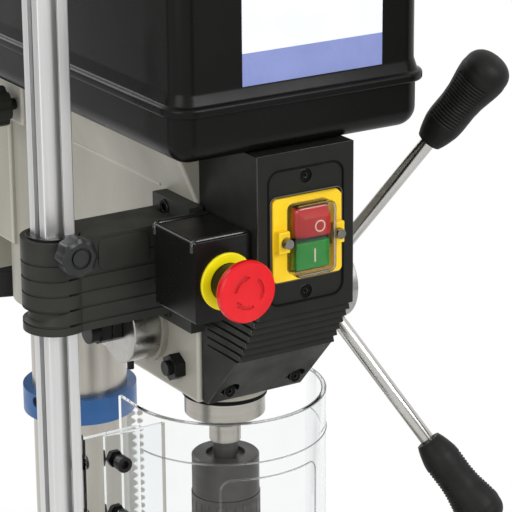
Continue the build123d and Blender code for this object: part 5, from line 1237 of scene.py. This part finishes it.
@dataclass
class GuardSet(SubAssembly):
    """Chuck guard: bracket with socket, bush, slotted profile, lobed knob, clear plate and shield."""

    axis: tuple = (-131.0, -80.0)
    field_out: float = 18.0
    field_corners: tuple = (-109.0, -73.0, 798.0, 818.0)
    field_corner: float = 4.0
    field_in: float = 6.0
    field_t: float = 0.6
    field_rounds: tuple = (0, 0.1, 0.5, 0)
    knob_y: float = -102.5
    knob_z: float = 815.0
    knob_r: float = 12.5
    knob_side: tuple = ((0, 0), (0.6, 0), (0.8, 1.5), (1.0, 3.5), (1.0, 13.5), (0.78, 15.0), (0.56, 15.0),
                        (0.53, 13.2), (0.45, 13.2), (0.42, 14.5), (0, 14.8))
    knob_rounds: tuple = (0, 0.3, 0.3, 0.8, 1.6, 0.4, 0.05, 0.05, 0.05, 0.04, 0)
    knob_around: int = 160
    stud_r: float = 3.0
    stud_run: tuple = (-5.2, 1.0)
    lobes: int = 8
    lobe_depth: float = 0.08
    lobe_from: float = 0.55
    lobe_fade: float = 0.3
    shield_r: float = 67.6
    spindle_y: float = -66.5
    step_z: float = 659.0
    step_points: int = 120
    step_turn: tuple = (math.radians(182), math.radians(358))
    frame_angles: tuple = (math.radians(236), math.radians(300))
    frame_z: tuple = (582.0, 648.0)
    frame_corner: float = 8.0
    frame_step: float = 1.5
    line_r: float = 0.55
    plate_y: float = -90.8
    plate_back: float = 0.25
    rim_z: float = 686.6
    rim_r: float = 0.45
    rim_ins: tuple = (0.2, 2.8)

    def knob(self) -> Shell:
        """Knob: radius = R * (1 - depth * s * sin^2(lobes * a / 2)), s rising to 1 towards the rim."""
        rows = round_corners(self.knob_side, self.knob_rounds, 6)
        a = full_turn(self.knob_around)
        share = rows[:, :1]
        dip = self.lobe_depth * smooth_step((share - self.lobe_from) / self.lobe_fade)
        r = self.knob_r * share * (1 - dip * np.sin(self.lobes * a / 2)[None] ** 2)
        origin = np.array([self.axis[0], self.knob_y, self.knob_z])
        rings = origin - rows[:, None, 1:] * Y_AXIS + r[..., None] * front_spokes(a)[None]
        (start, end), stud_r = self.stud_run, self.stud_r
        stud = [(0, start), (stud_r, start), (stud_r, end), (0, end)]
        return rings_shell(rings) + turned(stud, origin, -Y_AXIS, around=24, dress=1)

    def raised_field(self) -> Shell:
        """Shallow raised field with round corners on the front of the arm."""
        depth, t = self.field_in, self.field_t
        rows = round_corners([(depth, 0), (0, 0), (0, t), (depth, t)], self.field_rounds, 4)
        origin = (0, self.axis[1] - self.field_out, 0)
        return layered(self.field_corners, self.field_corner, rows, origin, FACING)

    def on_shield(self, a: np.ndarray, z: np.ndarray) -> tuple:
        """Points and outward directions of the shield's outer face at angles and heights."""
        out = np.stack([np.cos(a), np.sin(a), np.zeros_like(a)], -1)
        return out * self.shield_r + np.stack([np.zeros_like(a), np.full_like(a, self.spindle_y), z], -1), out

    def shield_lines(self) -> Shell:
        """Embossed lines on the shield: a step below the rim and a frame with round corners on the front."""
        a = np.linspace(*self.step_turn, self.step_points)
        path, out = self.on_shield(a, np.full_like(a, self.step_z))
        made = bead(path, out, self.line_r)
        path, out = self.on_shield(a, np.full_like(a, self.rim_z))
        for inset in self.rim_ins:
            made += bead(path - inset * out, out, self.rim_r)
        corners = (*(v * self.shield_r for v in self.frame_angles), *self.frame_z)
        flat = closed_run(rectangle(corners, self.frame_corner), self.frame_step)
        path, out = self.on_shield(flat[:, 0] / self.shield_r, flat[:, 1])
        return made + bead(path, out, self.line_r, closed=True)

    def build(self) -> None:
        """Builds knob, raised field and lines and copies the other nodes."""
        shop = self.shop
        shop.dressed("guard_bracket", MATTE_PLASTIC)
        shop.piece("arm_field", "guard_bracket", self.raised_field(), [MATTE_PLASTIC], False)
        shop.soften_all(("guard_bush", SATIN_PLASTIC), ("guard_profile", ALUMINIUM))
        shop.piece("lobed_knob", "guard_knob", self.knob(), [KNOB_PLASTIC, MACHINED_STEEL])
        plate = shop.softened("guard_plate", CLEAR_SHEET, Edge.NONE)
        shop.thinned(plate, 1, self.plate_y, self.plate_y + self.plate_back)
        shield = shop.softened("guard_shield", CLEAR_SHEET, Edge.MOULDED)
        # The lines are light grey: painted reflection along the shield's moulded edges.
        lines = shop.piece("shield_lines", "guard_shield", self.shield_lines(), [CLEAR_EDGE_SHEEN], False)
        for obj in (plate, shield, lines):
            obj.visible_shadow = False
        shop.softened("guard_screws", BLACK_OXIDE)


# Studio

@dataclass
class Lamp:
    """One soft area lamp: place and target in metres, size of its sides, power in watts."""

    name: str
    place: tuple
    target: tuple
    size: tuple
    power: float


@dataclass
class Studio:
    """Pale floor, white surroundings, soft lamps, dark cards for the metal to mirror, and the camera."""

    ambient: float = 0.55
    floor_half: float = 6.0
    floor_rough: float = 0.8
    floor_fade: tuple = (0.75, 1.15)
    floor_tones: tuple = (0.86, 0.84)
    dust_scale: float = 6.0
    card_tone: float = 0.02
    lamps: tuple = (Lamp("key_lamp", (0.9, -2.5, 2.2), (0, 0, 0.75), (1.6, 1.2), 46),
                    Lamp("fill_lamp", (-2.2, -1.1, 1.7), (0, 0, 0.75), (1.4, 1.4), 24),
                    Lamp("back_lamp", (-0.6, 2.0, 2.0), (0, 0.1, 0.8), (1.6, 1.0), 18))
    cards: tuple = (((-1.5, 0.9, 0.2), (-1.1, 1.5, 0.2), 1.7), ((0.9, -1.35, 0.1), (1.35, -0.85, 0.1), 1.5),
                    ((-0.15, -2.3, 0.0), (0.45, -2.4, 0.0), 1.3))
    camera_place: tuple = (-0.80544, -1.40803, 1.30222)
    camera_turn: float = 31.772
    camera_down: float = -0.31751
    camera_roll: float = -0.461
    camera_lens: float = 177.08
    film_width: float = 36.0
    clip_end: float = 50.0

    def world(self) -> None:
        """Sets the world: white to the camera, in mirrors and through glass, an even pale grey elsewhere."""
        nodes = Nodes(bpy.data.worlds.new("studio"))
        bpy.context.scene.world = nodes.owner
        level = nodes.put("MapRange", {0: nodes.seen(), 3: self.ambient, 4: 1.0}).outputs[0]
        for number, value in enumerate((WHITE, level)):
            nodes.join(value, nodes.tree.nodes["Background"].inputs[number])

    def floor(self) -> None:
        """Adds the floor: pale and shaded near the object, plain white to camera and mirrors farther off."""
        nodes = Nodes(bpy.data.materials.new("floor_paint"))
        place = nodes.put("TexCoord", {}).outputs["Object"]
        far = nodes.put("VectorMath", {0: place}, operation="LENGTH").outputs["Value"]
        far = nodes.spread(far, 0, 1, *self.floor_fade)
        factor = nodes.put("Math", {0: nodes.seen(), 1: far}, operation="MULTIPLY").outputs[0]
        nodes.join(self.floor_rough, nodes.shader.inputs["Roughness"])
        dust = nodes.spread(nodes.noise((1, 1, 1), self.dust_scale), 0, 1)
        tones = ((tone, tone, tone, 1) for tone in self.floor_tones)
        nodes.join(nodes.blend(dust, *tones), nodes.shader.inputs["Base Color"])
        glow = nodes.put("Emission", {0: WHITE, 1: 1.0}).outputs[0]
        mixed = nodes.put("MixShader", {0: factor, 1: nodes.shader.outputs[0], 2: glow}).outputs[0]
        nodes.join(mixed, nodes.tree.nodes["Material Output"].inputs[0])
        side = self.floor_half
        corners = [(x * side, y * side, 0) for x, y in ((-1, -1), (1, -1), (1, 1), (-1, 1))]
        self.sheet("floor", corners, nodes.owner)

    def sheet(self, name: str, corners: list, material: Material) -> Object:
        """Adds a flat sheet that belongs to the stage."""
        mesh = bpy.data.meshes.new(name)
        mesh.from_pydata(corners, [], [(0, 1, 2, 3)])
        mesh.materials.append(material)
        obj = linked(name, mesh)
        return obj

    def mirror_cards(self) -> None:
        """Adds dark cards that only mirrors see, so that bright metal has contrast."""
        nodes = Nodes(bpy.data.materials.new("card_cloth"))
        nodes.join((*[self.card_tone] * 3, 1), nodes.shader.inputs["Base Color"])
        for n, (start, end, height) in enumerate(self.cards):
            top = [(*end[:2], end[2] + height), (*start[:2], start[2] + height)]
            card = self.sheet(f"card_{n}", [start, end, *top], nodes.owner)
            card.visible_camera = card.visible_diffuse = False
            card.visible_shadow = card.visible_transmission = False

    def light(self) -> None:
        """Adds the lamps, each turned to its target."""
        for lamp in self.lamps:
            data = bpy.data.lights.new(lamp.name, "AREA")
            data.shape, data.energy = "RECTANGLE", lamp.power
            data.size, data.size_y = lamp.size
            place = Vector(lamp.place)
            aim = (Vector(lamp.target) - place).to_track_quat("-Z", "Y")
            linked(lamp.name, data).matrix_world = Matrix.Translation(place) @ aim.to_matrix().to_4x4()

    def camera(self) -> None:
        """Adds the camera of the main view."""
        turn, roll = math.radians(self.camera_turn), math.radians(self.camera_roll)
        level = math.sqrt(1 - self.camera_down ** 2)
        ahead = Vector((math.sin(turn) * level, math.cos(turn) * level, self.camera_down))
        right = Vector((math.cos(turn), -math.sin(turn), 0))
        up = right.cross(ahead)
        cosine, sine = math.cos(roll), math.sin(roll)
        right, up = right * cosine + up * sine, up * cosine - right * sine
        data = bpy.data.cameras.new("camera")
        data.lens, data.sensor_width, data.clip_end = self.camera_lens, self.film_width, self.clip_end
        obj = linked("camera", data)
        turned_to = Matrix((right, up, -ahead)).transposed().to_4x4()
        turned_to.translation = Vector(self.camera_place)
        obj.matrix_world = turned_to
        bpy.context.scene.camera = obj

    def build(self) -> None:
        """Sets up the whole studio."""
        for step in (self.world, self.floor, self.mirror_cards, self.light, self.camera):
            step()
        bpy.context.scene.view_settings.view_transform = "Standard"


def main() -> None:
    """Builds every sub-assembly, then the studio."""
    logging.basicConfig(level=logging.INFO, format="%(message)s")
    shop = Workshop()
    for kind in (Stand, Head, FeedSet, BeltCover, Drive, SwitchPanel, EmergencyStop, GuardSet):
        kind(shop).build()
        LOG.info("done: %s", kind.__name__)
    Studio().build()


if __name__ == "__main__":
    main()
